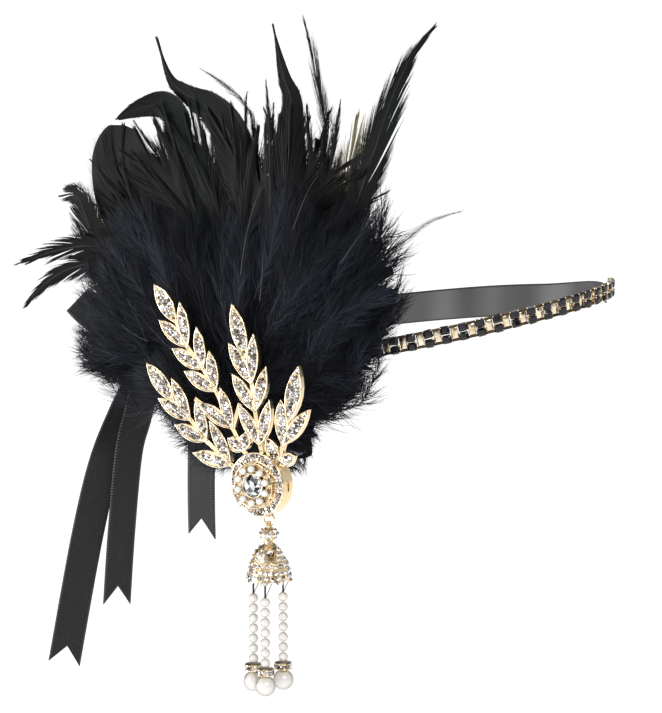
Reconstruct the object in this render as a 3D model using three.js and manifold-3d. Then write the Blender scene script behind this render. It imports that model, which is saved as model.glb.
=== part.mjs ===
// Feather headband in its worn form, in millimetres.
// +Z is up, the wearer faces -Y, and the brooch is on the wearer's right, facing -X.
// The origin is the middle of the loop that sits on the head.
import * as THREE from 'three';
import { mergeVertices } from 'three/addons/utils/BufferGeometryUtils.js';
import Module from 'manifold-3d';

const wasm = await Module();
wasm.setup();

const GAP = 0.3;

// Head loop: an oval whose front and back halves have their own length
const LOOP = { halfBreadth: 71, front: 102, back: 111 };
// Heights over the oval: a tilted plane for each band, and an extra rise of the chain at the brow
const CHAIN_TILT = { base: 0, perX: 0.065, perY: -0.203, browRise: 0.0002 };
const RIBBON_TILT = { base: -2.9, perX: 0.084, perY: -0.145, browRise: 0 };

// Bands along the oval, by angle from the wearer's left, through the back, in degrees
const CHAIN = { from: 181, to: 301, offsetStart: 0, offsetEnd: 0, steps: 48 };
const CHAIN_SIZE = { height: 7.3, thickness: 2 };
const RIBBON = { width: 14, thickness: 1 };
const RIBBON_BAND = {
  from: -64, to: 115.6, offsetStart: -1.9, offsetEnd: 0, steps: 48,
  raise: 6, narrow: 0.53,
};
const RIBBON_SIDE = { from: 176.5, to: 116.4, offsetStart: 0.7, offsetEnd: 0, steps: 16 };
// Shares of a band's run over which its offset changes, and over which a raised and narrowed end runs out
const OFFSET_EASE = [0.15, 0.45];
const END_EASE = [0.05, 0.24];

// Bow at the back of the wearer's right
const KNOT = { angle: 116, offset: 5.8, along: 6, out: 5, up: 7, around: 20, rings: 12 };
// Each loop runs out along its aim, with its breadth square to the aim and to a direction beside it
const BOW_LOOPS = [
  { name: 'bow_loop_outer', aim: [-19, 25, 30], beside: [-0.8, -0.6, 0], length: 34, half: 4.5 },
  { name: 'bow_loop_inner', aim: [20, 18, 42], beside: [-0.61, 0.79, 0], length: 30, half: 4.5 },
];
// Both ends of a loop stand off the knot's middle, a little apart and gathered in breadth
const LOOP_END = { standOff: 7, split: 0.9, gather: 0.45, steps: 28 };
// Hanging tails: points along each, its turn from the common facing, and the depth of the cut end
const NOTCH = 8;
const TAILS = [
  {
    name: 'tail_long',
    turn: 0,
    points: [
      [-33.8, 107.4, -26.8], [-43, 111.5, -44], [-53.5, 113.7, -64], [-62.5, 116.7, -96],
      [-75.5, 119.7, -150],
    ],
  },
  {
    name: 'tail_middle',
    turn: 38,
    points: [[-37.1, 102.4, -26.9], [-46, 100.5, -42], [-53, 100, -57], [-60, 99, -91], [-65, 98, -122]],
  },
  {
    name: 'tail_short',
    turn: -35,
    points: [[-71.5, 44, -16], [-71.5, 45, -34], [-71.5, 46, -54], [-71, 46.5, -70], [-70, 47, -84]],
  },
];
const TAIL_FACING = [0.5736, -0.8192, 0];

// Felt plate that carries the plume, the brooch and the band ends
const FELT = { inner: -72.3, thickness: 2, around: 64 };
// Its outline seen from the side, as [backward, up], kept inside the plume
const FELT_RIM = [
  [-36, 0], [-25, -13], [-15.5, -24], [-11.5, -35], [-11.5, -42], [5, -44], [30, -42], [48, -30], [58, -12],
  [60, 4], [56, 20], [46, 34], [30, 44], [10, 48], [-12, 44], [-28, 30], [-36, 14],
];
const FELT_OUTER = FELT.inner - FELT.thickness;

// Plume of down: a dome over an uneven rim, flat where it meets the felt and the brooch
const FLUFF = { x: -82, y: 18, z: 11, halfX: 25, around: 52, rings: 16, bladesFrom: -6 };
// The rim seen from the side, as [backward, up], from the front round by the bottom and the back
const DOWN_RIM = [
  [-61, 28], [-57, 14], [-47, -5], [-31, -14], [-21, -24], [-17, -36], [-10, -47], [13, -49], [39, -50],
  [57, -37], [70, -10], [88, -13], [103, -17], [105, -10], [105, 8], [96, 24], [93, 41], [83, 56],
  [58, 64], [38, 60], [17, 63], [-3, 74], [-23, 76], [-42, 71], [-54, 55], [-60, 43],
];

// Feathers: blades that root on the felt and rise in layers behind the down
const BLADE = { thickness: 1.1, quill: 1.6, layerStep: 1.75, layers: 5, rise: 22, start: 0.32, steps: 24 };
// Upper parts lean apart by layer, over a span of the run along the blade
const BLADE_LEAN = { perLayer: 2.5, middleLayer: 2.5, from: 60, to: 160 };
// Breadth along the vane: a round shoulder near its start, then each feather's own taper to the tip
const VANE = { shoulder: 0.02, round: 0.9 };
// Each route runs from the root to the tip, as [backward, up]
const FEATHERS = [
  {
    name: 'feather_wisp_right', layer: 2, width: 5, taper: 0.5,
    route: [[-27, 14], [-46.9, 37.3], [-58.8, 48.5], [-72.8, 59], [-89.3, 64.8]],
  },
  {
    name: 'feather_hackle', layer: 4, width: 28, taper: 0.9,
    route: [[-25, 20], [-38.2, 57.7], [-47.8, 82.1], [-56.7, 104.1], [-67.7, 124], [-78.7, 135.2]],
  },
  {
    name: 'feather_cream', layer: 1, width: 17, taper: 0.2,
    route: [[-21, 21], [-31, 70], [-34.5, 85], [-37, 98]],
  },
  {
    name: 'feather_spike_right', layer: 3, width: 8, taper: 0.6,
    route: [[-17, 22], [-26.4, 77.5], [-29.3, 92.8], [-31.8, 105.2]],
  },
  {
    name: 'feather_spray', layer: 0, width: 12, taper: 0.6,
    route: [[-12, 22], [-20.8, 84], [-18.4, 100.6], [-13.6, 117.5], [-6.8, 137.1]],
  },
  {
    name: 'feather_curl', layer: 2, width: 24, taper: 1.0,
    route: [[-6, 22], [-3.5, 75.2], [-6, 91.5], [-6.5, 103.5], [-2.5, 112.9], [3.2, 133.1]],
  },
  {
    name: 'feather_spike_middle', layer: 5, width: 8, taper: 0.6,
    route: [[0, 22], [0.5, 87.5], [1, 101.6], [1.4, 112]],
  },
  {
    name: 'feather_sabre', layer: 3, width: 36, taper: 1.3,
    route: [
      [9, 22], [19.4, 57.7], [20.2, 76], [24.2, 90], [33.2, 98.6], [44.3, 103.4], [53.4, 110], [59.8, 126.1],
    ],
  },
  {
    name: 'feather_wisp_top', layer: 1, width: 7, taper: 0.6,
    route: [[16, 22], [12.7, 85.5], [18.4, 100.2], [28.9, 107.8], [42.9, 114.5]],
  },
  {
    name: 'feather_bent', layer: 4, width: 14, taper: 0.5,
    route: [[25, 20], [46.6, 80], [48.8, 93], [55.3, 98.9], [67.4, 97.1], [79.2, 92.1]],
  },
  {
    name: 'feather_round', layer: 0, width: 38, taper: 0.12,
    route: [[36, 17], [64, 40], [77, 58], [83.5, 74], [83, 88.5]],
  },
  {
    name: 'feather_jagged', layer: 2, width: 14, taper: 0.3,
    route: [[43, 13], [91.4, 37.4], [101.1, 50.3], [106, 58.1], [114.9, 57.1]],
  },
  {
    name: 'feather_spike_upper', layer: 3, width: 9, taper: 0.4,
    route: [[48, 7], [81.4, 34.1], [97.7, 37.1], [117, 33.5], [138.2, 26.3]],
  },
  {
    name: 'feather_spike_lower', layer: 1, width: 9, taper: 0.4,
    route: [[49, -1], [92, 26.5], [109.1, 26.8], [126.5, 18], [138.9, 6.8]],
  },
];

// Brooch frame: sideways runs to the wearer's front, upward runs up, outward runs away from the head
const BROOCH = { x: -105.5, y: -10.4, z: -48 };
const LEAF_SHIFT = -2;
const LEAF = { thickness: 1.8, terminal: 7.6, left: 6.6, right: 5.8, widest: 0.52, curveSteps: 6 };
const STEM = { width: 1.9, thickness: 1.6, rimReach: 11 };
// Each frond has an end leaf, then leaf pairs from tip to root: [stem, left leaf tip, right leaf tip]
const FRONDS = [
  {
    end: [[-50.9, 76.2], [-39.5, 61]],
    pairs: [
      [[-34.1, 51.8], [-48.6, 61.8], [-38, 70.1]],
      [[-26.2, 43.6], [-42, 50.7], [-29.6, 60.7]],
      [[-19.9, 35.2], [-35.8, 42], [-23.2, 51.6]],
      [[-11.6, 21], [-28.2, 29.7], [-17.8, 37.1]],
      [[-6.2, 12.4], [-13.8, 16.8], [-4.9, 20.1]],
    ],
  },
  {
    end: [[-55.3, 43.4], [-41, 28.5]],
    pairs: [
      [[-32.7, 22], [-49.4, 29.4], [-42.5, 38.5]],
      [[-24.8, 14.3], [-41, 19.2], [-30.1, 31.1]],
      [[-12.2, 5.9], [-31.6, 8.7], [-23.2, 23]],
    ],
  },
  {
    end: [[-11.6, 71.5], [-4.9, 50]],
    pairs: [
      [[-2, 40.1], [-13.3, 55.7], [-1, 60.4]],
      [[-0.4, 29], [-11.6, 43.3], [5.2, 47.7]],
      [[2, 15.5], [-8.4, 31], [6.9, 34.4]],
    ],
  },
  {
    end: [[21, 49.5], [15.8, 25.9]],
    pairs: [
      [[13.1, 16.5], [12.4, 35.3], [25.9, 32.5]],
      [[10.9, 9.2], [5.4, 19.1], [19.3, 13.2]],
    ],
  },
];
// Short bars that join neighbouring fronds, each as [from, to]
const LINKS = [[[-27.6, 29.5], [-29.9, 30.7]], [[-8.3, 30.6], [-11.6, 21]]];

// Medallion: radii, and levels along the outward direction
const MEDAL = { radius: 13, boss: 9.3, lip: 8.9, around: 40 };
const LEVEL = { back: -3.5, face: 2.9, bossTop: 4.9, lipTop: 5.5 };
const SLOT = { level: -0.4, length: 4.4, width: 1.6, depth: 1.2 };
const CRYSTAL = { girdle: 4.6, table: 2.6, base: 3.2, seat: 5.2, girdleAt: 6.2, top: 7.8, sides: 16 };
const RING_PEARLS = { count: 10, radius: 1.6, circle: 6.9, wire: 0.5, level: 6.8, around: 10, rings: 6 };
// Sides of a wire's round section, and steps round a ring of it
const WIRE = { section: 10, around: 22 };
const PIN = { y: -8.4, z: -39, radius: 2.5, sides: 20 };

// Drop: heights below the medallion's centre, on an axis behind the medallion
const DROP_OUT = -5;
const RING = { drop: 15.5, radius: 2.5, wire: 0.5 };
const EYE = { drop: 12.7, radius: 1.7, wire: 0.5, tabTop: 7, tabHalf: 1.1, tabBack: 1.6 };
const BAIL = { drop: 18.2, radius: 1.45, wire: 0.45 };
// Outline of the cap as [radius, drop], from its top to its open hem and back up inside
const CAP_OUTLINE = [
  [0, 19.5], [2.4, 19.8], [3.6, 21.6], [2.6, 23.4], [1.7, 24.4], [1.9, 25.6], [4.3, 27.4], [6.2, 30],
  [6.7, 32.2], [7.3, 32.8], [7.3, 34.6], [7.9, 35.4], [9, 41], [8.2, 41], [7.3, 35.8], [0, 35.8],
];
const CAP = {
  around: 24, windowRadius: 2, windowDrop: 29.6, scallopRadius: 2.4, scallopDrop: 42, scallops: 4,
};
const CAP_BORE_SIDES = 12;
const STRANDS = { circle: 6.5, angles: [155, 68, -66], top: 36.2, first: 48.5, pitch: 4.2, count: 7 };
const THREAD = { radius: 0.45, sides: 10 };
const SMALL_PEARL = { radius: 1.95, around: 10, rings: 7 };
const RONDELLE = { radius: 3.8, top: 75.95, height: 2.7, sides: 18 };
const BIG_PEARL = { radius: 4.25, drop: 83.25, around: 16, rings: 11 };
// Longer than anything that it cuts
const CUTTER = 200;

const COLOURS = {
  down: 0x171a22, feather: 0x1c1b1a, cream: 0x9a8f78, felt: 0x101012, satin: 0x1d1d1f,
  gold: 0xd8c49a, steel: 0x55565a, pearl: 0xf1ece4, crystal: 0xdfe3ea,
};
const paints = {};
for (const [name, colour] of Object.entries(COLOURS)) {
  paints[name] = new THREE.MeshStandardMaterial({ name, color: colour });
}

const group = new THREE.Group();

function addPiece(name, geometry, paint) {
  geometry.computeVertexNormals();
  const mesh = new THREE.Mesh(geometry, paints[paint]);
  mesh.name = name;
  group.add(mesh);
}

function toSolid(geometry) {
  let plain = geometry.index ? geometry.clone() : mergeVertices(geometry.clone());
  plain.deleteAttribute('normal');
  plain.deleteAttribute('uv');
  plain = mergeVertices(plain, 1e-4);
  const index = plain.index.array;
  const corners = [];
  for (let i = 0; i < index.length; i += 3) {
    const [a, b, c] = [index[i], index[i + 1], index[i + 2]];
    if (a !== b && b !== c && c !== a) corners.push(a, b, c);
  }
  return new wasm.Manifold(new wasm.Mesh({
    numProp: 3,
    vertProperties: new Float32Array(plain.attributes.position.array),
    triVerts: new Uint32Array(corners),
  }));
}

function toGeometry(solid) {
  const mesh = solid.getMesh();
  const geometry = new THREE.BufferGeometry();
  const places = [];
  for (let i = 0; i < mesh.vertProperties.length; i += mesh.numProp) {
    places.push(mesh.vertProperties[i], mesh.vertProperties[i + 1], mesh.vertProperties[i + 2]);
  }
  geometry.setAttribute('position', new THREE.Float32BufferAttribute(places, 3));
  geometry.setIndex(Array.from(mesh.triVerts));
  return geometry;
}

// A thin sheet through stations, each with its place, its across and its outward direction
function sheet(stations, width, thickness, notch = 0) {
  const places = [];
  const corners = [];
  const columns = [-0.5, 0, 0.5];
  const last = stations.length - 1;
  stations.forEach((station, i) => {
    for (const side of [0.5, -0.5]) {
      for (const column of columns) {
        const place = station.place.clone();
        place.addScaledVector(station.across, column * width);
        place.addScaledVector(station.out, side * thickness);
        if (i === last && column === 0) place.addScaledVector(station.along, -notch);
        places.push(place.x, place.y, place.z);
      }
    }
  });
  const at = (i, side, column) => i * 6 + side * 3 + column;
  const quad = (a, b, c, d) => corners.push(a, b, c, a, c, d);
  for (let i = 0; i < last; i += 1) {
    for (let k = 0; k < 2; k += 1) {
      quad(at(i, 0, k), at(i, 0, k + 1), at(i + 1, 0, k + 1), at(i + 1, 0, k));
      quad(at(i, 1, k + 1), at(i, 1, k), at(i + 1, 1, k), at(i + 1, 1, k + 1));
    }
    quad(at(i, 0, 2), at(i, 1, 2), at(i + 1, 1, 2), at(i + 1, 0, 2));
    quad(at(i, 1, 0), at(i, 0, 0), at(i + 1, 0, 0), at(i + 1, 1, 0));
  }
  for (let k = 0; k < 2; k += 1) {
    quad(at(0, 0, k), at(0, 1, k), at(0, 1, k + 1), at(0, 0, k + 1));
    quad(at(last, 0, k + 1), at(last, 1, k + 1), at(last, 1, k), at(last, 0, k));
  }
  const geometry = new THREE.BufferGeometry();
  geometry.setAttribute('position', new THREE.Float32BufferAttribute(places, 3));
  geometry.setIndex(corners);
  const solid = toSolid(geometry);
  if (solid.volume() < 0) {
    const flipped = geometry.index.array;
    for (let i = 0; i < flipped.length; i += 3) {
      [flipped[i], flipped[i + 1]] = [flipped[i + 1], flipped[i]];
    }
  }
  return geometry;
}

// The band's loop: place, outward direction and height at an angle
function onLoop(degrees, offset, tilt, raise = 0) {
  const turn = THREE.MathUtils.degToRad(degrees);
  const reach = Math.sin(turn) < 0 ? LOOP.front : LOOP.back;
  const x = LOOP.halfBreadth * Math.cos(turn);
  const y = reach * Math.sin(turn);
  const out = new THREE.Vector3(Math.cos(turn) / LOOP.halfBreadth, Math.sin(turn) / reach, 0).normalize();
  const rise = y < 0 ? tilt.browRise * y * y : 0;
  const height = tilt.base + tilt.perX * x + tilt.perY * y + rise + raise;
  const place = new THREE.Vector3(x, y, height).addScaledVector(out, offset);
  return { place, out, across: new THREE.Vector3(0, 0, 1), along: new THREE.Vector3(-out.y, out.x, 0) };
}

function bandStations(band, tilt) {
  const stations = [];
  for (let i = 0; i <= band.steps; i += 1) {
    const share = i / band.steps;
    const ease = THREE.MathUtils.smoothstep(share, ...OFFSET_EASE);
    const offset = THREE.MathUtils.lerp(band.offsetStart, band.offsetEnd, ease);
    const end = 1 - THREE.MathUtils.smoothstep(share, ...END_EASE);
    const degrees = THREE.MathUtils.lerp(band.from, band.to, share);
    const station = onLoop(degrees, offset, tilt, end * (band.raise ?? 0));
    station.across.multiplyScalar(THREE.MathUtils.lerp(1, band.narrow ?? 1, end));
    stations.push(station);
  }
  return stations;
}

// Bands
const chainStations = bandStations(CHAIN, CHAIN_TILT);
addPiece('chain_band', sheet(chainStations, CHAIN_SIZE.height, CHAIN_SIZE.thickness), 'gold');
for (const [name, band] of [['ribbon_band', RIBBON_BAND], ['ribbon_side', RIBBON_SIDE]]) {
  addPiece(name, sheet(bandStations(band, RIBBON_TILT), RIBBON.width, RIBBON.thickness), 'satin');
}

// Bow
const knotSeat = onLoop(KNOT.angle, KNOT.offset, RIBBON_TILT);
const knotInward = knotSeat.out.clone().negate();
const knotFrame = new THREE.Matrix4().makeBasis(knotSeat.along, knotInward, knotSeat.across);
const knot = new THREE.SphereGeometry(1, KNOT.around, KNOT.rings);
knot.scale(KNOT.along, KNOT.out, KNOT.up);
knot.applyMatrix4(knotFrame.setPosition(knotSeat.place));
addPiece('bow_knot', toGeometry(toSolid(knot)), 'satin');

for (const loop of BOW_LOOPS) {
  const aim = new THREE.Vector3(...loop.aim).normalize();
  const across = new THREE.Vector3().crossVectors(aim, new THREE.Vector3(...loop.beside)).normalize();
  const bulge = new THREE.Vector3().crossVectors(across, aim).normalize();
  const placeAt = (share) => {
    const swing = Math.PI * share;
    const place = knotSeat.place.clone();
    place.addScaledVector(aim, LOOP_END.standOff + loop.length * Math.sin(swing));
    return place.addScaledVector(bulge, loop.half * Math.sin(2 * swing) + LOOP_END.split * Math.cos(swing));
  };
  const stations = [];
  const nudge = 1e-3;
  for (let i = 0; i <= LOOP_END.steps; i += 1) {
    const share = i / LOOP_END.steps;
    const along = placeAt(share + nudge).sub(placeAt(share - nudge)).normalize();
    const out = new THREE.Vector3().crossVectors(along, across);
    const breadth = 1 - LOOP_END.gather * (1 - Math.sin(Math.PI * share)) ** 2;
    stations.push({ place: placeAt(share), across: across.clone().multiplyScalar(breadth), along, out });
  }
  addPiece(loop.name, sheet(stations, RIBBON.width, RIBBON.thickness), 'satin');
}

for (const tail of TAILS) {
  const curve = new THREE.CatmullRomCurve3(tail.points.map((point) => new THREE.Vector3(...point)));
  const facing = new THREE.Vector3(...TAIL_FACING);
  facing.applyAxisAngle(new THREE.Vector3(0, 0, 1), THREE.MathUtils.degToRad(tail.turn));
  const steps = Math.floor(curve.getLength() / (NOTCH + 1));
  const stations = [];
  for (let i = 0; i <= steps; i += 1) {
    const along = curve.getTangentAt(i / steps);
    const out = new THREE.Vector3().crossVectors(facing, along).normalize();
    const across = new THREE.Vector3().crossVectors(along, out).normalize();
    stations.push({ place: curve.getPointAt(i / steps), across, along, out });
  }
  addPiece(tail.name, sheet(stations, RIBBON.width, RIBBON.thickness, NOTCH), 'satin');
}

// Turns a shape drawn in sideways and upward directions to face out from the wearer's right
const faceOut = new THREE.Matrix4().makeBasis(
  new THREE.Vector3(0, -1, 0), new THREE.Vector3(0, 0, 1), new THREE.Vector3(-1, 0, 0),
);
const broochFrame = faceOut.clone().setPosition(BROOCH.x, BROOCH.y, BROOCH.z);

function plate(shape, bottom, thickness, curveSteps) {
  const options = { depth: thickness, bevelEnabled: false, curveSegments: curveSteps };
  return new THREE.ExtrudeGeometry(shape, options).translate(0, 0, bottom);
}

function block(sizes, centre) {
  return new THREE.BoxGeometry(...sizes).translate(...centre);
}

// Felt backing
const feltLine = new THREE.CatmullRomCurve3(FELT_RIM.map(([y, z]) => new THREE.Vector3(-y, z, 0)), true);
const feltShape = new THREE.Shape(feltLine.getPoints(FELT.around).map(({ x, y }) => new THREE.Vector2(x, y)));
const felt = plate(feltShape, 0, FELT.thickness, 1);
felt.applyMatrix4(faceOut.clone().setPosition(FELT.inner, 0, 0));
addPiece('felt_backing', toGeometry(toSolid(felt)), 'felt');

// Pin between felt and medallion
const pinFrom = FELT_OUTER - GAP;
const pinTo = BROOCH.x - LEVEL.back + GAP;
function pinRod(radius) {
  const rod = new THREE.CylinderGeometry(radius, radius, pinFrom - pinTo, PIN.sides);
  rod.rotateZ(Math.PI / 2);
  return rod.translate((pinFrom + pinTo) / 2, PIN.y, PIN.z);
}
addPiece('brooch_pin', toGeometry(toSolid(pinRod(PIN.radius))), 'steel');

// Down
const bladeDepth = BLADE.layerStep * BLADE.layers + BLADE.thickness + GAP * 3;
const rimRows = DOWN_RIM.map(([y, z]) => ({
  turn: Math.atan2(z - FLUFF.z, y - FLUFF.y),
  reach: Math.hypot(y - FLUFF.y, z - FLUFF.z),
}));
rimRows.sort((a, b) => a.turn - b.turn);
function rimReach(turn) {
  const before = rimRows.findLast((row) => row.turn <= turn) ?? rimRows.at(-1);
  const after = rimRows.find((row) => row.turn > turn) ?? rimRows[0];
  const span = THREE.MathUtils.euclideanModulo(after.turn - before.turn, 2 * Math.PI);
  const into = THREE.MathUtils.euclideanModulo(turn - before.turn, 2 * Math.PI);
  return THREE.MathUtils.lerp(before.reach, after.reach, into / span);
}
const downBall = new THREE.SphereGeometry(1, FLUFF.around, FLUFF.rings).rotateZ(Math.PI / 2);
const spots = downBall.attributes.position;
for (let i = 0; i < spots.count; i += 1) {
  const turn = Math.atan2(spots.getZ(i), spots.getY(i));
  const reach = Math.hypot(spots.getY(i), spots.getZ(i)) * rimReach(turn);
  const x = FLUFF.x + FLUFF.halfX * spots.getX(i);
  spots.setXYZ(i, x, FLUFF.y + reach * Math.cos(turn), FLUFF.z + reach * Math.sin(turn));
}
const downFront = BROOCH.x + LEAF.thickness / 2 + GAP;
const wide = CUTTER * 2;
const bladeRoom = block(
  [bladeDepth, wide, CUTTER], [FELT_OUTER - bladeDepth / 2, 0, FLUFF.bladesFrom + CUTTER / 2],
);
const medalRoom = new THREE.CylinderGeometry(MEDAL.radius + GAP, MEDAL.radius + GAP, CUTTER, MEDAL.around);
medalRoom.rotateZ(Math.PI / 2).translate(BROOCH.x - LEVEL.back + GAP - CUTTER / 2, BROOCH.y, BROOCH.z);
const cutAway = [
  block([CUTTER, wide, wide], [FELT_OUTER - GAP + CUTTER / 2, 0, 0]),
  block([CUTTER, wide, wide], [downFront - CUTTER / 2, 0, 0]),
  bladeRoom,
  pinRod(PIN.radius + GAP),
  medalRoom,
];
let down = toSolid(downBall);
for (const cutter of cutAway) down = down.subtract(toSolid(cutter));
addPiece('plume_fluff', toGeometry(down), 'down');

// Feather blades
function vaneShare(open, taper) {
  const shoulder = Math.sqrt(Math.sin(Math.PI * (VANE.shoulder + VANE.round * open)));
  return shoulder * (1 - open) ** taper;
}
for (const feather of FEATHERS) {
  const curve = new THREE.SplineCurve(feather.route.map(([y, z]) => new THREE.Vector2(y, z)));
  const length = curve.getLength();
  const stations = [];
  for (let i = 0; i <= BLADE.steps; i += 1) {
    const share = i / BLADE.steps;
    const point = curve.getPointAt(share);
    const tangent = curve.getTangentAt(share);
    const settle = THREE.MathUtils.smoothstep(share * length, 0, BLADE.rise);
    const leanShare = THREE.MathUtils.smoothstep(share * length, BLADE_LEAN.from, BLADE_LEAN.to);
    const lean = BLADE_LEAN.perLayer * (feather.layer - BLADE_LEAN.middleLayer) * leanShare;
    const x = FELT_OUTER - GAP - BLADE.thickness / 2 - BLADE.layerStep * feather.layer * settle - lean;
    const open = THREE.MathUtils.clamp((share - BLADE.start) / (1 - BLADE.start), 0, 1);
    const vane = open > 0 ? feather.width * vaneShare(open, feather.taper) : 0;
    const width = Math.max(BLADE.quill, vane);
    stations.push({
      place: new THREE.Vector3(x, point.x, point.y),
      across: new THREE.Vector3(0, -tangent.y, tangent.x).multiplyScalar(width),
      along: new THREE.Vector3(0, tangent.x, tangent.y),
      out: new THREE.Vector3(-1, 0, 0),
    });
  }
  const paint = feather.name === 'feather_cream' ? 'cream' : 'feather';
  addPiece(feather.name, sheet(stations, 1, BLADE.thickness), paint);
}

// Brooch leaves and stems
function leaf(root, tip, width) {
  const run = new THREE.Vector2(tip[0] - root[0], tip[1] - root[1]);
  const side = new THREE.Vector2(-run.y, run.x).normalize().multiplyScalar(width);
  const middle = [root[0] + run.x * LEAF.widest, root[1] + run.y * LEAF.widest];
  const shape = new THREE.Shape();
  shape.moveTo(...root);
  shape.quadraticCurveTo(middle[0] - side.x, middle[1] - side.y, ...tip);
  shape.quadraticCurveTo(middle[0] + side.x, middle[1] + side.y, ...root);
  const solid = plate(shape, -LEAF.thickness / 2, LEAF.thickness, LEAF.curveSteps);
  return toSolid(solid.translate(LEAF_SHIFT, 0, 0));
}

function stem(from, to) {
  const run = new THREE.Vector2(to[0] - from[0], to[1] - from[1]);
  const bar = block([run.length() + STEM.width, STEM.width, STEM.thickness], [0, 0, 0]);
  bar.rotateZ(Math.atan2(run.y, run.x));
  return toSolid(bar.translate((from[0] + to[0]) / 2 + LEAF_SHIFT, (from[1] + to[1]) / 2, 0));
}

function turned(outline, around) {
  return new THREE.LatheGeometry(outline.map(([radius, level]) => new THREE.Vector2(radius, level)), around);
}

const medal = turned([
  [0, LEVEL.back], [MEDAL.radius, LEVEL.back], [MEDAL.radius, LEVEL.face], [MEDAL.boss, LEVEL.face],
  [MEDAL.boss, LEVEL.lipTop], [MEDAL.lip, LEVEL.lipTop], [MEDAL.lip, LEVEL.bossTop], [0, LEVEL.bossTop],
], MEDAL.around);
let frame = toSolid(medal.rotateX(Math.PI / 2));
for (const frond of FRONDS) {
  const [endTip, endRoot] = frond.end;
  frame = frame.add(leaf(endRoot, endTip, LEAF.terminal));
  let from = endRoot;
  for (const [joint, leftTip, rightTip] of frond.pairs) {
    frame = frame.add(leaf(joint, leftTip, LEAF.left)).add(leaf(joint, rightTip, LEAF.right));
    frame = frame.add(stem(from, joint));
    from = joint;
  }
  const reach = STEM.rimReach / Math.hypot(...from);
  frame = frame.add(stem(from, [from[0] * reach - LEAF_SHIFT, from[1] * reach]));
}
for (const [from, to] of LINKS) frame = frame.add(stem(from, to));
const eye = new THREE.TorusGeometry(EYE.radius, EYE.wire, WIRE.section, WIRE.around).rotateY(Math.PI / 2);
frame = frame.add(toSolid(eye.translate(0, -EYE.drop, DROP_OUT)));
const tabOut = LEVEL.back - DROP_OUT + EYE.tabBack;
const tabHeight = EYE.drop - EYE.radius - EYE.tabTop;
frame = frame.add(toSolid(block(
  [EYE.tabHalf * 2, tabHeight, tabOut], [0, -EYE.tabTop - tabHeight / 2, LEVEL.back + EYE.wire - tabOut / 2],
)));
for (const side of [1, -1]) {
  const slot = block([SLOT.depth * 2, SLOT.length, SLOT.width], [side * MEDAL.radius, 0, SLOT.level]);
  frame = frame.subtract(toSolid(slot));
}
addPiece('brooch_frame', toGeometry(frame).applyMatrix4(broochFrame), 'gold');

// Crystal and small pearls of the medallion
const crystal = turned([
  [0, CRYSTAL.seat], [CRYSTAL.base, CRYSTAL.seat], [CRYSTAL.girdle, CRYSTAL.girdleAt],
  [CRYSTAL.table, CRYSTAL.top], [0, CRYSTAL.top],
], CRYSTAL.sides);
crystal.rotateX(Math.PI / 2);
addPiece('centre_crystal', toGeometry(toSolid(crystal)).applyMatrix4(broochFrame), 'crystal');
const pearlWire = new THREE.TorusGeometry(
  RING_PEARLS.circle, RING_PEARLS.wire, RING_PEARLS.rings, RING_PEARLS.count * 3,
);
let pearlRing = toSolid(pearlWire.translate(0, 0, RING_PEARLS.level));
for (let i = 0; i < RING_PEARLS.count; i += 1) {
  const turn = (2 * Math.PI * (i + 0.5)) / RING_PEARLS.count;
  const pearl = new THREE.SphereGeometry(RING_PEARLS.radius, RING_PEARLS.around, RING_PEARLS.rings);
  const { circle, level } = RING_PEARLS;
  pearl.translate(circle * Math.cos(turn), circle * Math.sin(turn), level);
  pearlRing = pearlRing.add(toSolid(pearl));
}
addPiece('pearl_ring', toGeometry(pearlRing).applyMatrix4(broochFrame), 'pearl');

// Jump ring and cap
const ring = new THREE.TorusGeometry(RING.radius, RING.wire, WIRE.section, WIRE.around);
ring.translate(0, -RING.drop, DROP_OUT);
addPiece('jump_ring', toGeometry(toSolid(ring)).applyMatrix4(broochFrame), 'gold');
let cap = toSolid(turned(CAP_OUTLINE.map(([radius, drop]) => [radius, -drop]).reverse(), CAP.around));
function capBore(radius, drop, turn) {
  const bore = new THREE.CylinderGeometry(radius, radius, CUTTER, CAP_BORE_SIDES).rotateX(Math.PI / 2);
  return toSolid(bore.rotateY(turn).translate(0, -drop, 0));
}
for (const turn of [Math.PI / 4, -Math.PI / 4]) {
  cap = cap.subtract(capBore(CAP.windowRadius, CAP.windowDrop, turn));
}
for (let i = 0; i < CAP.scallops; i += 1) {
  cap = cap.subtract(capBore(CAP.scallopRadius, CAP.scallopDrop, (Math.PI * i) / CAP.scallops));
}
const bail = new THREE.TorusGeometry(BAIL.radius, BAIL.wire, WIRE.section, WIRE.around).rotateY(Math.PI / 2);
cap = cap.add(toSolid(bail.translate(0, -BAIL.drop, 0)));
addPiece('drop_cap', toGeometry(cap).translate(0, 0, DROP_OUT).applyMatrix4(broochFrame), 'gold');

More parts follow.
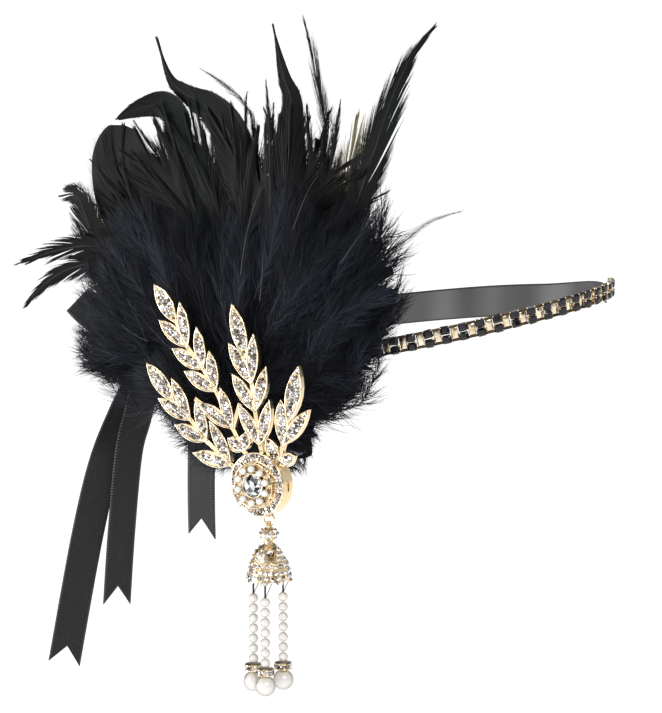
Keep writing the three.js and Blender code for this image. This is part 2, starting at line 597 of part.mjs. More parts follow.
// Pearl strands
STRANDS.angles.forEach((angle, i) => {
  const turn = THREE.MathUtils.degToRad(angle);
  const side = STRANDS.circle * Math.cos(turn);
  const out = STRANDS.circle * Math.sin(turn) + DROP_OUT;
  const bottom = STRANDS.first + STRANDS.pitch * (STRANDS.count - 1);
  const thread = new THREE.CylinderGeometry(THREAD.radius, THREAD.radius, bottom - STRANDS.top, THREAD.sides);
  let strand = toSolid(thread.translate(side, -(STRANDS.top + bottom) / 2, out));
  for (let k = 0; k < STRANDS.count; k += 1) {
    const pearl = new THREE.SphereGeometry(SMALL_PEARL.radius, SMALL_PEARL.around, SMALL_PEARL.rings);
    strand = strand.add(toSolid(pearl.translate(side, -STRANDS.first - STRANDS.pitch * k, out)));
  }
  addPiece(`strand_${i + 1}`, toGeometry(strand).applyMatrix4(broochFrame), 'pearl');
  const { radius, height, sides } = RONDELLE;
  const rondelle = new THREE.CylinderGeometry(radius, radius, height, sides);
  rondelle.translate(side, -RONDELLE.top - height / 2, out);
  addPiece(`rondelle_${i + 1}`, toGeometry(toSolid(rondelle)).applyMatrix4(broochFrame), 'crystal');
  const bigPearl = new THREE.SphereGeometry(BIG_PEARL.radius, BIG_PEARL.around, BIG_PEARL.rings);
  bigPearl.translate(side, -BIG_PEARL.drop, out);
  addPiece(`drop_pearl_${i + 1}`, toGeometry(toSolid(bigPearl)).applyMatrix4(broochFrame), 'pearl');
});

export default group;
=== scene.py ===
"""Looks of the feather headband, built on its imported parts.

Lengths are in millimetres until a mesh is made. +Z is up, the wearer faces -Y, and the brooch is on
the wearer's right, facing -X.
"""
import math

import bpy
import numpy as np
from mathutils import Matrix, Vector


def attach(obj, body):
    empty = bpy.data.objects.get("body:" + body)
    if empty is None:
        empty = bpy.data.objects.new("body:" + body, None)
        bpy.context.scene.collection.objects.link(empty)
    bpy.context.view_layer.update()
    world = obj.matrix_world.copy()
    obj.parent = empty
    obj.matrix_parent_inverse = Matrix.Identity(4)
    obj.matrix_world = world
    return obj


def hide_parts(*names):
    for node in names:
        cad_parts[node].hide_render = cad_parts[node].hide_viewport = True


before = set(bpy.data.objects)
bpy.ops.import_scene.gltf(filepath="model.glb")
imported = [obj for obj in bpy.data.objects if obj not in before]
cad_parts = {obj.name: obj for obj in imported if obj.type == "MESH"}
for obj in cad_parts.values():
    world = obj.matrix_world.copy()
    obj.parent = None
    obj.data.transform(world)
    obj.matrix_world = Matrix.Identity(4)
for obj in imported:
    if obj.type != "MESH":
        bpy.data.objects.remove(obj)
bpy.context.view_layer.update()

MM = 0.001
TAU = 2 * math.pi

# Camera, floor and lights
CAMERA = {"aim": (-71.97, -20.98, -0.08), "turn": 35, "dip": 9.5, "distance": 1200, "lens": 149.6}
SENSOR = 36
FLOOR = {"height": -900, "half": 90000, "grey": 0.9, "rough": 0.9, "glow": 0.7}
LIGHTS = [
    # name, place, size, power in watts
    ("key", (-900, -1100, 900), 600, 9),
    ("side", (-1300, 500, 350), 400, 4),
    ("top", (100, 100, 1300), 700, 5),
    ("back", (-710, 1000, -150), 500, 6),
]
SKY = {"scale": 2.2, "detail": 1.0, "stops": [(0.4, 0.04), (0.48, 0.3), (0.56, 0.5), (0.66, 1.1)]}

# Finishes: a stop is a position and a colour or grey
NOISE_DETAIL = 3.0
ROUGH_AT = (0.3, 0.7)
METAL = {"Metallic": 1}
FOIL = {"Metallic": 1, "Roughness": 0.05}
MOTTLED = [
    # name, noise scale, colour stops, least and greatest roughness, other settings
    ("gilt", 450, [(0.35, (0.66, 0.5, 0.3)), (0.6, (0.97, 0.87, 0.69))], (0.08, 0.24), METAL),
    # Deeper gold: partly a warmer, more saturated gold, partly painted shade for the frame, the medallion
    # wall and the drop cap, darker than the pale gilt rims
    ("deep_gilt_and_shade", 90, [(0.3, (0.8, 0.59, 0.32)), (0.7, (0.92, 0.74, 0.46))], (0.14, 0.3), METAL),
    # Dark brown metal of the chain's connecting bars: painted shade for the shadowed gaps between the cups
    # and tiles
    ("link_metal_in_shade", 200, [(0.3, (0.05, 0.035, 0.022)), (0.7, (0.14, 0.1, 0.06))], (0.25, 0.4), METAL),
    ("steel", 120, [(0.3, 0.28), (0.7, 0.36)], (0.3, 0.42), METAL),
    ("jet", 500, [(0.3, (0.004, 0.004, 0.005)), (0.7, (0.02, 0.019, 0.022))], (0.04, 0.12),
     {"Specular_IOR_Level": 0.4}),
    ("thread", 900, [(0.3, 0.006), (0.7, 0.03)], (0.5, 0.7), {}),
    ("felt", 600, [(0.3, 0.004), (0.7, 0.016)], (0.85, 0.95), {"Specular_IOR_Level": 0.1}),
]
FELT_NAP = {"scale": 1500, "strength": 0.5, "distance": 0.0004}
TONED = [
    # name, colour stops by tone, other settings
    ("stone", [(0, (0.1, 0.09, 0.09)), (0.3, (0.4, 0.38, 0.38)), (0.6, (0.85, 0.85, 0.87)),
               (1, (0.98, 0.98, 1))], FOIL),
    # The cut crystal: each facet painted dark or bright by its tone, as painted reflections
    ("crystal_facet_reflections", [(0, (0.02, 0.022, 0.026)), (0.35, (0.2, 0.21, 0.23)), (0.55, (0.66, 0.68, 0.71)),
                   (0.75, (0.98, 0.98, 1))], FOIL),
    # Down: dark navy by each barb's own tone; the pale stop near 0.95 paints highlights on some strands, and
    # tone 1 is the pale quills
    ("down", [(0, (0.0015, 0.002, 0.0035)), (0.55, (0.005, 0.0062, 0.0105)), (0.95, (0.03, 0.035, 0.05)),
              (1, (0.14, 0.14, 0.15))], {"Roughness": 0.6, "Specular_IOR_Level": 0.12, "Sheen_Weight": 0.04}),
]
VANE_FINISHES = [
    # name, dark colour, quill colour, colour stops of the patches (painted green and purple sheen on the
    # black vane, mottling on the cream vane), roughness
    ("black_vane", (0.0036, 0.0035, 0.0033), (0.06, 0.055, 0.05),
     [(0.4, (0.004, 0.0075, 0.0065)), (0.5, (0.005, 0.005, 0.0045)), (0.6, (0.0075, 0.005, 0.008))], 0.42),
    ("cream_vane", (0.22, 0.19, 0.1), (0.55, 0.5, 0.36),
     [(0.4, (0.5, 0.45, 0.28)), (0.6, (0.28, 0.24, 0.13))], 0.6),
]
# Tones of a vane: position and how many times its dark colour, and the position of its quill colour
VANE_TONES = {"dark": [(0.0, 0.5), (0.75, 2)], "quill": 0.9, "gloss": 0.12}
# Where the patches fall, by noise: painted sheen on the black vanes, mottling on the cream vane
SHEEN_AND_MOTTLE_PATCHES = {"hue_scale": 14, "hue_detail": 0, "scale": 34, "detail": 1, "stops": [(0.46, 0), (0.66, 0.85)]}
# Pearls: pale warm nacre, greyed towards the edges by painted shade that follows how far the surface turns
# from view
NACRE_AND_EDGE_SHADE = {"settings": {"Roughness": 0.3, "Coat_Weight": 1, "Coat_Roughness": 0.05},
         "edge_shade_blend": 0.35, "scale": 220,
         "stops": [(0.0, (0.86, 0.83, 0.79)), (0.3, (0.75, 0.72, 0.67)), (0.6, (0.48, 0.45, 0.4)),
                   (0.9, (0.2, 0.18, 0.15))]}
# Satin: the inside of the bands is painted paler, a painted sheen that swells and fades slowly along them;
# tails, loops and knot keep the dark face colour
SATIN = {"settings": {"Specular_IOR_Level": 0.26, "Sheen_Weight": 0.02},
         "stitch_scale": 0.26, "knots": [(0.45, 0.004), (0.75, 0.1)],
         "face_scale": 900, "face": [(0.3, 0.009), (0.7, 0.018)],
         "sheen_scale": 0.03, "sheen_detail": 1.0, "reverse": [(0.35, 0.05), (0.5, 0.11), (0.65, 0.19)],
         "edges": [(0.0, 1), (0.045, 1), (0.055, 0), (0.945, 0), (0.955, 1)],
         "rough_scale": 60, "rough": [(0.3, 0.34), (0.7, 0.42)],
         "weave_scale": 1.6, "distortion": 0.4, "weave": 0.12, "weave_depth": 0.0002}

# Head loop and the two bands on it
LOOP = {"half_breadth": 71, "front": 102, "back": 111}
CHAIN_TILT = {"base": 0, "per_x": 0.065, "per_y": -0.203, "brow_rise": 0.0002}
RIBBON_TILT = {"base": -2.9, "per_x": 0.084, "per_y": -0.145, "brow_rise": 0}
CHAIN = {"start": 181, "end": 301, "pitch": 7.1, "row": 1.86, "back": -0.9, "steps": 600, "seed": 31,
         "stone_lean": 0.07, "stone_spin": 0.1}
# Parts of the chain: half length and half height, cut corner, then levels as a scale and a height
CUP = {"half": (1.8, 1.6), "cut": 0.2, "levels": [(0.94, 0), (1, 0.12), (1, 1.3), (0.93, 1.45)]}
TILE = {"half": (1.45, 2.35), "cut": 0.16, "levels": [(0.9, 0.1), (1, 0.25), (1, 0.65), (0.86, 0.8)]}
BAR = {"half": (2.0, 0.46), "cut": 0.3, "levels": [(0.9, 0), (1, 0.15), (1, 0.8), (0.8, 0.95)],
       "past_row": 1.0, "out": 0.1}
BLACK_STONE = {"half": (2.0, 1.75), "cut": 0.22, "levels": [(0.9, 1.1), (1, 1.5), (0.78, 2.1), (0.5, 2.4)]}
PRONG = {"radius": 0.36, "sides": 7, "rings": 5, "along": 1.65, "up": 1.42, "out": 1.75}
RIBBON = {"width": 14, "thickness": 0.5, "edge": 0.3, "edge_from": 0.44, "edge_to": 0.48, "row": 1.2,
          "columns": 13, "band_steps": 240, "bow_steps": 120}
BANDS = [
    # name, node, first and last angle, first and last offset, lift and breadth of the first end,
    # what it lies on
    ("satin_band", "ribbon_band", -64, 115.6, -1.9, 0, 6, 0.53, ["chain_gold", "satin_knot"]),
    ("satin_side", "ribbon_side", 176.5, 116.4, 0.7, 0, 0, 1, ["felt_backing", "satin_knot"]),
]
OFFSET_EASE = (0.15, 0.45)
END_EASE = (0.05, 0.24)

# Bow and tails
KNOT = {"angle": 116, "offset": 5.8, "along": 6, "out": 5, "up": 7, "pleats": 4, "pleat": 0.07,
        "pleat_sway": 0.6, "spiral": 0.008, "wrap": 1.03, "pinch": 0.62, "inset": 0.9,
        "rows": 60, "columns": 25}
BOW_LOOPS = [
    # name, node, aim, direction beside the aim and square to the breadth, length, half depth
    ("satin_loop_outer", "bow_loop_outer", (-19, 25, 30), (-0.8, -0.6, 0), 34, 4.5),
    ("satin_loop_inner", "bow_loop_inner", (20, 18, 42), (-0.61, 0.79, 0), 30, 4.5),
]
LOOP_END = {"stand_off": 7, "split": 0.9, "gather": 0.45}
NOTCH = 8
TAIL_FACING = (0.5736, -0.8192, 0)
TAILS = [
    # name, node, turn, what it hangs from, points
    ("satin_tail_long", "tail_long", 0, "satin_knot",
     [(-33.8, 107.4, -26.8), (-43, 111.5, -44), (-53.5, 113.7, -64), (-62.5, 116.7, -96),
      (-75.5, 119.7, -150)]),
    ("satin_tail_middle", "tail_middle", 38, "satin_knot",
     [(-37.1, 102.4, -26.9), (-46, 100.5, -42), (-53, 100, -57), (-60, 99, -91), (-65, 98, -122)]),
    ("satin_tail_short", "tail_short", -35, "felt_backing",
     [(-71.5, 44, -16), (-71.5, 45, -34), (-71.5, 46, -54), (-71, 46.5, -70), (-70, 47, -84)]),
]

# Plume of down: a dome of small plumes that fan out from behind the brooch, over an uneven rim
DOWN = {"y": 18, "z": 11, "back": -77, "depth": 27, "front": -104.4, "knee": 2.2}
DOWN_RIM = [
    # backward and up, from the front round by the bottom and the back
    (-61, 28), (-57, 14), (-47, -5), (-31, -14), (-21, -24), (-17, -36), (-10, -47), (13, -49), (39, -50),
    (57, -37), (70, -10), (88, -13), (103, -17), (105, -10), (105, 8), (100, 24), (97, 40), (83, 56),
    (58, 64), (38, 60), (17, 63), (-3, 74), (-23, 76), (-42, 71), (-54, 55), (-60, 43),
]
DOWN_ROOT = (2, -25)
PLUMES = {"steps": 4, "length": 44, "length_range": (0.8, 1.2), "most_of_reach": 0.92, "root_scatter": 5,
          "bend": 0.1, "clump": 6}
# One barb: angles in degrees; a pair is the scatter of a clump and of each barb in it
BARB = {"crowding": 0.7, "ahead": 0.01, "roll": (0.55, 0.25), "open": 46, "closing": 26,
        "open_scatter": (0.16, 0.09), "open_gain": 57, "open_limits": (5, 75), "share_of_plume": 0.42,
        "shortest": 7, "longest": 21, "tip_shrink": 0.4, "size_range": (0.55, 1.1), "curl": 0.2,
        "curl_scatter": (0.16, 0.12), "wave": 0.035, "waves": 5, "flatten": 0.32, "sag": 1.2,
        "width_range": (0.6, 1.2), "narrowing": 0.82, "facing_scatter": 0.5,
        "tone_scatter": 0.16, "palest": 0.95}
DOWN_QUILL = {"start": 0.05, "steps": 9, "widths": (0.5, 0.14), "tones": (0.5, 0.96),
              "facing": (-1.0, 0.25, 0)}
DOWN_LAYERS = [
    # name, seed, plumes, barbs of each, first and last share of the rim, nearest and farthest reach,
    # least and greatest depth, barb width, least and greatest tone
    ("down_under", 14, 110, 80, 0, 1, 0.72, 1.0, 0.0, 0.3, 0.47, 0.0, 0.45),
    ("down_side", 16, 80, 100, 0.385, 0.575, 0.62, 1.0, 0.0, 0.8, 0.32, 0.05, 0.7),
    ("down_right", 17, 30, 90, 0.9, 1, 0.7, 1.04, 0.0, 0.7, 0.3, 0.05, 0.5),
    ("down_back", 11, 150, 140, 0, 1, 0.5, 0.98, 0.0, 0.5, 0.29, 0.05, 0.8),
    ("down_middle", 12, 155, 145, 0, 1, 0.4, 0.96, 0.35, 0.85, 0.24, 0.05, 0.9),
    ("down_front", 13, 155, 150, 0, 1, 0.15, 0.93, 0.75, 1.0, 0.21, 0.05, 0.95),
]
# Short dense down at the roots of the plumes: a ragged skin under the loose barbs
SKIN = {"seed": 15, "around": 240, "rings": 8, "near": 0.84, "far": 0.97, "layer": 0.12, "tone": 0.1}
# Fan of softer feathers that fills the room between the tall ones, out to a rim from back to front
FAN = {"root": (8, 2), "start": 0.22, "middle": 0.6, "sway": 0.08, "layers": 5, "seeds": 1000, "steps": 4,
       "quill": 0.3, "quill_tone": 0.55}
FAN_RINGS = [
    # name, seed, feathers, least and greatest reach to the rim, least and greatest breadth, taper,
    # barb spacing, barb width, barb angle, loose share
    ("fan_outer", 71, 64, 0.92, 1.08, 9, 15, 0.6, 0.5, 0.24, 11, 0.65),
    ("fan_middle", 72, 42, 0.88, 1.0, 23, 30, 0.2, 0.5, 0.5, 17, 0.3),
    ("fan_inner", 73, 26, 0.42, 0.72, 22, 30, 0.3, 0.42, 0.5, 20, 0.2),
]
FAN_RIM = [
    (98, 12), (94, 34), (94, 50), (91, 64), (83, 76), (72, 88), (62, 95), (53, 97), (42, 95), (29, 101),
    (16, 101), (10, 97), (4, 100), (-9, 103), (-15, 98), (-19, 95), (-24, 92), (-32, 76), (-44, 82),
    (-50, 70), (-46, 60),
]

# Tall feathers: layer and width as in the parts, then how the vane looks
FELT_OUTER = -74.3
BLADE = {"clear": 0.85, "step": 1.75, "rise": 22, "spread": 2.5, "middle": 2.5, "lean": (60, 160),
         "start": 0.3, "steps": 200, "seed": 100}
FEATHERS = [
    # name, layer, width, taper, barb spacing, barb width, barb angle, loose share, route from root to tip
    ("wisp_right", 2, 6, 0.5, 1.3, 0.13, 12, 0.5,
     [(-27, 14), (-46.9, 37.3), (-58.8, 48.5), (-72.8, 59), (-89.3, 64.8)]),
    ("hackle", 4, 30, 0.85, 0.17, 0.32, 11, 0.15,
     [(-25, 20), (-38.2, 57.7), (-47.8, 82.1), (-56.7, 104.1), (-67.7, 124), (-78.7, 135.2)]),
    ("cream", 1, 24, 0.12, 0.15, 0.4, 14, 0.3, [(-21, 21), (-31, 70), (-34.5, 85), (-37, 98)]),
    ("spike_right", 3, 9, 0.6, 0.45, 0.2, 12, 0.5, [(-17, 22), (-26.4, 77.5), (-29.3, 92.8), (-31.8, 105.2)]),
    ("spray", 0, 13, 0.6, 0.6, 0.17, 10, 0.6,
     [(-12, 22), (-20.8, 84), (-18.4, 100.6), (-13.6, 117.5), (-6.8, 137.1)]),
    ("curl", 2, 25, 1.0, 0.28, 0.45, 22, 0.08,
     [(-6, 22), (-3.5, 75.2), (-6, 91.5), (-6.5, 103.5), (-2.5, 112.9), (3.2, 133.1)]),
    ("spike_middle", 5, 9, 0.6, 0.5, 0.2, 12, 0.5, [(0, 22), (0.5, 87.5), (1, 101.6), (1.4, 112)]),
    ("sabre", 3, 37, 1.3, 0.28, 0.5, 24, 0.06,
     [(9, 22), (19.4, 57.7), (20.2, 76), (24.2, 90), (33.2, 98.6), (44.3, 103.4), (53.4, 110),
      (59.8, 126.1)]),
    ("wisp_top", 1, 8, 0.6, 0.9, 0.15, 12, 0.6,
     [(16, 22), (12.7, 85.5), (18.4, 100.2), (28.9, 107.8), (42.9, 114.5)]),
    ("bent", 4, 20, 0.4, 0.28, 0.45, 26, 0.08,
     [(25, 20), (46.6, 80), (48.8, 93), (55.3, 98.9), (67.4, 97.1), (79.2, 92.1)]),
    ("round", 0, 48, 0.12, 0.28, 0.5, 32, 0.04, [(36, 17), (64, 40), (77, 58), (84.5, 74), (84, 88.5)]),
    ("jagged", 2, 22, 0.2, 0.3, 0.45, 30, 0.12,
     [(43, 13), (91.4, 37.4), (101.1, 50.3), (106, 58.1), (114.9, 57.1)]),
    ("spike_upper", 3, 16, 0.45, 0.3, 0.36, 16, 0.35,
     [(48, 7), (81.4, 34.1), (97.7, 37.1), (117, 33.5), (138.2, 26.3)]),
    ("spike_lower", 1, 16, 0.45, 0.3, 0.36, 16, 0.35,
     [(49, -1), (92, 26.5), (109.1, 26.8), (126.5, 18), (138.9, 6.8)]),
]
# Closed vane of the firm feathers: up to which loose share, and its inset from the barb tips
WEB = {"loose": 0.1, "inset": 0.95, "rows": 60, "columns": 7, "behind": 0.2, "tone": 0.3}
VANE = {"shoulder": 0.02, "round": 0.9, "least": 0.03, "steps": 5, "quill": 0.7, "quill_tone": 0.8}
QUILL = {"steps": 40, "front": 0.45, "tip": 0.15, "facing": (-1.0, 0.2, 0)}
# Barbs of a vane part into locks: chance of a new lock, its scatter, and how the barbs bow and droop
LOCK = {"chance": 0.09, "shrink": (-0.1, 0.9), "stagger": 0.8, "tip_reach": 0.96, "tip_spare": 1.5,
        "scatter": 0.02, "loose_scatter": 0.16, "spread": 0.4, "bow": 0.2, "droop": 0.1, "loose_droop": 1.2,
        "front": 0.25, "width_range": (0.9, 1.15), "narrowing": 0.8, "sway": 0.1, "cupping": 0.3,
        "tone": 0.35, "tone_of_lock": 0.12, "tone_scatter": 0.06, "palest": 0.75}
# Long pale quills that show on the face of the down, as backward and upward places
LONG_QUILL = {"steps": 12, "front": 0.6, "widths": (0.06, 0.17), "facing": (-1.0, -0.4, 0)}
LONG_QUILLS = [
    [(3, 76), (1.5, 59), (1.6, 35)],
    [(-23, 80), (-21.6, 64), (-20, 54)],
    [(-51, 66), (-46, 52), (-41, 42)],
    [(33, 76), (28, 69), (21, 61)],
    [(47, 76), (36, 69.5), (24, 65)],
    [(-8, 45), (-8.5, 37), (-8, 25)],
]

# Brooch: sideways, upward and outward from the medallion's centre
BROOCH = (-105.5, -10.4, -48)
BROOCH_AXES = np.array([[0.0, -1, 0], [0, 0, 1], [-1, 0, 0]])
LEAF = {"shift": -2, "front": 0.9, "middle": 0.52, "terminal": 7.6, "left": 6.6, "right": 5.8}
FRONDS = [
    # end leaf as tip and root, then leaf pairs from tip to root as stem, left tip and right tip
    ([(-50.9, 76.2), (-39.5, 61)], [
        [(-34.1, 51.8), (-48.6, 61.8), (-38, 70.1)],
        [(-26.2, 43.6), (-42, 50.7), (-29.6, 60.7)],
        [(-19.9, 35.2), (-35.8, 42), (-23.2, 51.6)],
        [(-11.6, 21), (-28.2, 29.7), (-17.8, 37.1)],
        [(-6.2, 12.4), (-13.8, 16.8), (-4.9, 20.1)],
    ]),
    ([(-55.3, 43.4), (-41, 28.5)], [
        [(-32.7, 22), (-49.4, 29.4), (-42.5, 38.5)],
        [(-24.8, 14.3), (-41, 19.2), (-30.1, 31.1)],
        [(-12.2, 5.9), (-31.6, 8.7), (-23.2, 23)],
    ]),
    ([(-11.6, 71.5), (-4.9, 50)], [
        [(-2, 40.1), (-13.3, 55.7), (-1, 60.4)],
        [(-0.4, 29), (-11.6, 43.3), (5.2, 47.7)],
        [(2, 15.5), (-8.4, 31), (6.9, 34.4)],
    ]),
    ([(21, 49.5), (15.8, 25.9)], [
        [(13.1, 16.5), (12.4, 35.3), (25.9, 32.5)],
        [(10.9, 9.2), (5.4, 19.1), (19.3, 13.2)],
    ]),
]
RIM = {"wire": 0.34, "inset": 0.3, "steps": 14, "sides": 7}
PAVE = {"seed": 41, "radius": 0.7, "pitch": 1.42, "row": 0.87, "lines": range(-3, 4), "start": 0.9,
        "stagger": 0.5, "tip": 0.6, "out": 0.28, "lean": 0.22, "edge": 0.95}
GRAIN = {"radius": 0.24, "sides": 5, "rings": 3, "edge": 0.1, "aside": 0.29, "out": 0.35}
MEDAL = {"seed": 42, "wire_steps": 72, "wire_sides": 8, "grain": 0.34, "grain_sides": 7, "grain_rings": 5}
HALO = {"level": 3.15, "stone": 0.75, "rows": [(10.35, 45), (11.8, 51)]}
MEDAL_WIRES = [
    # radius, level, wire
    (12.7, 2.9, 0.4), (9.45, 3.1, 0.32), (9.1, 5.5, 0.3), (4.85, 6.1, 0.35),
]
MEDAL_GRAINS = [
    # radius, grains round, level, first place as a share of the pitch
    (11.08, 48, 3.25, 0.25), (5.35, 20, 6.6, 0), (8.35, 20, 5.7, 0),
]
WALL = {"radius": 13.06, "back": -3.4, "front": 2.7, "around": 240, "rows": 18,
        "slot_half": 2.2, "slot_rise": 0.85, "slot_level": -0.4, "wire": 0.2, "wire_steps": 28,
        "wire_sides": 6}
RING_PEARLS = {"count": 10, "radius": 1.6, "circle": 6.9, "level": 6.8, "first": 0.5, "sides": 20,
               "rings": 12, "lean": 0.1, "spin": 0.2}
CRYSTAL = {"seed": 43, "sides": 8, "girdle": 4.6, "table": 2.6, "star": 3.7, "pavilion": 2.2, "culet": 5.2,
           "pavilion_at": 5.45, "girdle_at": 6.2, "star_at": 7.2, "top": 7.8}

# Drop: heights below the medallion's centre, on an axis behind it
DROP_OUT = -5
RING = {"drop": 15.5, "radius": 2.5, "wire": 0.5, "split": 8, "split_at": 60, "steps": 60, "sides": 12}
CAP_SIDE = [
    # drop, radius of the cap's outer wall
    (19.8, 2.4), (21.6, 3.6), (23.4, 2.6), (24.4, 1.7), (25.6, 1.9), (27.4, 4.3), (30, 6.2),
    (32.2, 6.7), (32.8, 7.3), (34.6, 7.3), (35.4, 7.9), (41, 9),
]
CAP_ROWS = [
    # drop, stones round, first angle, stone radius
    (20.3, 7, 0, 0.9), (21.7, 10, 18, 0.95), (23.1, 8, 0, 0.85),
    (33.7, 24, 0, 0.9), (36.4, 22, 0, 1.0), (38.4, 20, 9, 1.05),
]
CAP_STONES = {"seed": 51, "dimmest": 0.3, "out": 0.2, "slope_step": 0.3}
CAP_RIMS = {"drops": (32.6, 34.9), "wire": 0.3, "steps": 48, "sides": 7}
CAP_ARMS = {"count": 4, "radius": 0.85}
CAP_ARM_STONES = [
    # turn in degrees from the arm's middle, drop
    (0, 25.9), (0, 27.5), (-14, 29.2), (0, 29.3), (14, 29.2), (-17, 31.2), (0, 31.2), (17, 31.2),
]
CAP_TEETH = {"count": 8, "drop": 40.2, "first": 22.5, "radius": 1.1}
STRANDS = {"seed": 52, "circle": 6.5, "angles": (155, 68, -66), "top": 36.2, "first": 48.5, "pitch": 4.2,
           "count": 7, "lean": 0.05}
THREAD = {"radius": 0.4, "sides": 8, "steps": 3}
# Loose thread ends as places beside the strand and below its top
SLANT = {"radius": 0.16, "sides": 6, "places": [(3.4, 4), (1.9, 7), (0.4, 10)]}
SMALL_PEARL = {"radius": 1.95, "sides": 22, "rings": 13}
BIG_PEARL = {"radius": 4.25, "drop": 83.25, "sides": 32, "rings": 19}
RONDELLE = {"radius": 3.4, "top": 75.95, "height": 2.7, "plate": 0.35, "inset": 0.25, "stones": 12,
            "stone": 0.85, "stone_inset": 0.1, "turn": 0.3, "plate_sides": 28, "drum_sides": 24,
            "drum_half": 1.1}
# Edge of a rondelle's plate: past its radius, and height
PLATE_EDGE = [(-0.4, -0.35), (0.15, -0.28), (0.3, 0), (0.15, 0.28), (-0.4, 0.35)]

# Beads end at a latitude in radians; a pearl's hole and a stone's levels are shares of the radius
BEAD_END = 1.35
PEARL_END = 1.36
PEARL_HOLE = [(0.1, 0.84), (0.13, 0.98)]
STONE_SIDES = 8
STONE_LEVELS = [(0.6, -0.45), (1, 0), (0.56, 0.5)]
SPLINE_STEPS = 40
SHORTEST = 1e-9
OUTWARD = np.array([-1.0, 0, 0])
UPWARD = np.array([0.0, 0, 1])


# Shapes
def unit(vectors):
    vectors = np.asarray(vectors, float)
    return vectors / np.maximum(np.linalg.norm(vectors, axis=-1, keepdims=True), SHORTEST)


def smoothstep(values, low, high):
    share = np.clip((np.asarray(values, float) - low) / (high - low), 0, 1)
    return share * share * (3 - 2 * share)


class Shape:
    """Points in millimetres, with four-cornered and three-cornered faces and values on the points."""

    def __init__(self, points, quads=(), triangles=(), fields=None):
        self.points = np.asarray(points, float).reshape(-1, 3)
        self.quads = np.asarray(quads, int).reshape(-1, 4)
        self.triangles = np.asarray(triangles, int).reshape(-1, 3)
        self.fields = fields or {}

    def copied(self, axes, places, tone=None):
        """One copy at each place, its local axes turned to that place's rows of axes, all joined."""
        places = np.asarray(places, float)
        points = np.einsum("pk,nkd->npd", self.points, axes) + places[:, None, :]
        shift = (np.arange(len(places)) * len(self.points))[:, None, None]
        fields = {} if tone is None else {"tone": np.repeat(tone, len(self.points))}
        return Shape(points, self.quads[None] + shift, self.triangles[None] + shift, fields)


def joined(shapes):
    starts = np.cumsum([0] + [len(shape.points) for shape in shapes])
    fields = {key: np.concatenate([shape.fields[key] for shape in shapes]) for key in shapes[0].fields}
    return Shape(
        np.concatenate([shape.points for shape in shapes]),
        np.concatenate([shape.quads + start for shape, start in zip(shapes, starts)]),
        np.concatenate([shape.triangles + start for shape, start in zip(shapes, starts)]),
        fields,
    )


def turns(count, first=0.0):
    """Angles evenly spaced round a full turn; first is a share of the step."""
    return TAU * (np.arange(count) + first) / count


def circle(count):
    return np.stack([np.cos(turns(count)), np.sin(turns(count))], -1)


def grid_quads(index):
    """Faces between the neighbours in a grid, or grids, of point numbers."""
    near, far = index[..., :-1, :], index[..., 1:, :]
    return np.stack([near[..., :-1], near[..., 1:], far[..., 1:], far[..., :-1]], -1)


def cut_square(half, cut):
    """A square outline with its corners cut off."""
    near = half - cut
    return np.array([
        (half, -near), (half, near), (near, half), (-near, half),
        (-half, near), (-half, -near), (-near, -half), (near, -half),
    ])


def lofted(outline, levels):
    """A closed solid from copies of a flat outline; each level is a scale and a height."""
    count = len(outline)
    rings = [np.column_stack([outline * scale, np.full(count, height)]) for scale, height in levels]
    middles = [[0, 0, levels[0][1]], [0, 0, levels[-1][1]]]
    index = np.arange(count * len(levels)).reshape(len(levels), count)
    turned = np.roll(index, -1, axis=1)
    quads = np.stack([index[:-1], turned[:-1], turned[1:], index[1:]], -1)
    first = np.full(count, count * len(levels))
    caps = [np.stack([turned[0], index[0], first], -1), np.stack([index[-1], turned[-1], first + 1], -1)]
    return Shape(np.vstack(rings + [middles]), quads, np.concatenate(caps))


def bead(radius, sides, rings):
    latitude = np.linspace(-BEAD_END, BEAD_END, rings)
    return lofted(circle(sides), list(zip(radius * np.cos(latitude), radius * np.sin(latitude))))


def pearl(radius, sides, rings):
    """A bead along its Z axis with a small drilled dimple at each end."""
    latitude = np.linspace(-PEARL_END, PEARL_END, rings)
    round_part = list(zip(np.cos(latitude), np.sin(latitude)))
    levels = [(r, -z) for r, z in PEARL_HOLE] + round_part + PEARL_HOLE[::-1]
    return lofted(circle(sides), [(radius * r, radius * z) for r, z in levels])


def brilliant(radius):
    """A small round stone with a flat table, its girdle at height zero."""
    return lofted(circle(STONE_SIDES), [(radius * r, radius * z) for r, z in STONE_LEVELS])


def block(look):
    """A small block with cut corners, from its half sizes and levels."""
    return lofted(cut_square(1.0, look["cut"]) * look["half"], look["levels"])


def tube(path, radius, sides, normal, closed=False):
    """A round wire along a path; normal is a direction that the path never runs along."""
    path = np.asarray(path, float)
    if closed:
        along = unit(np.roll(path, -1, axis=0) - np.roll(path, 1, axis=0))
    else:
        along = unit(np.gradient(path, axis=0))
    side = unit(np.cross(along, normal))
    rise = np.cross(side, along)
    turn = turns(sides)
    ring = side[:, None] * np.cos(turn)[:, None] + rise[:, None] * np.sin(turn)[:, None]
    points = (path[:, None] + ring * radius).reshape(-1, 3)
    index = np.arange(len(path) * sides).reshape(len(path), sides)
    turned = np.roll(index, -1, axis=1)
    if closed:
        quads = np.stack([index, np.roll(index, -1, 0), np.roll(turned, -1, 0), turned], -1)
        return Shape(points, quads)
    quads = np.stack([index[:-1], index[1:], turned[1:], turned[:-1]], -1)
    first = np.full(sides, len(points))
    caps = [np.stack([index[0], turned[0], first], -1), np.stack([turned[-1], index[-1], first + 1], -1)]
    return Shape(np.vstack([points, path[:1], path[-1:]]), quads, np.concatenate(caps))


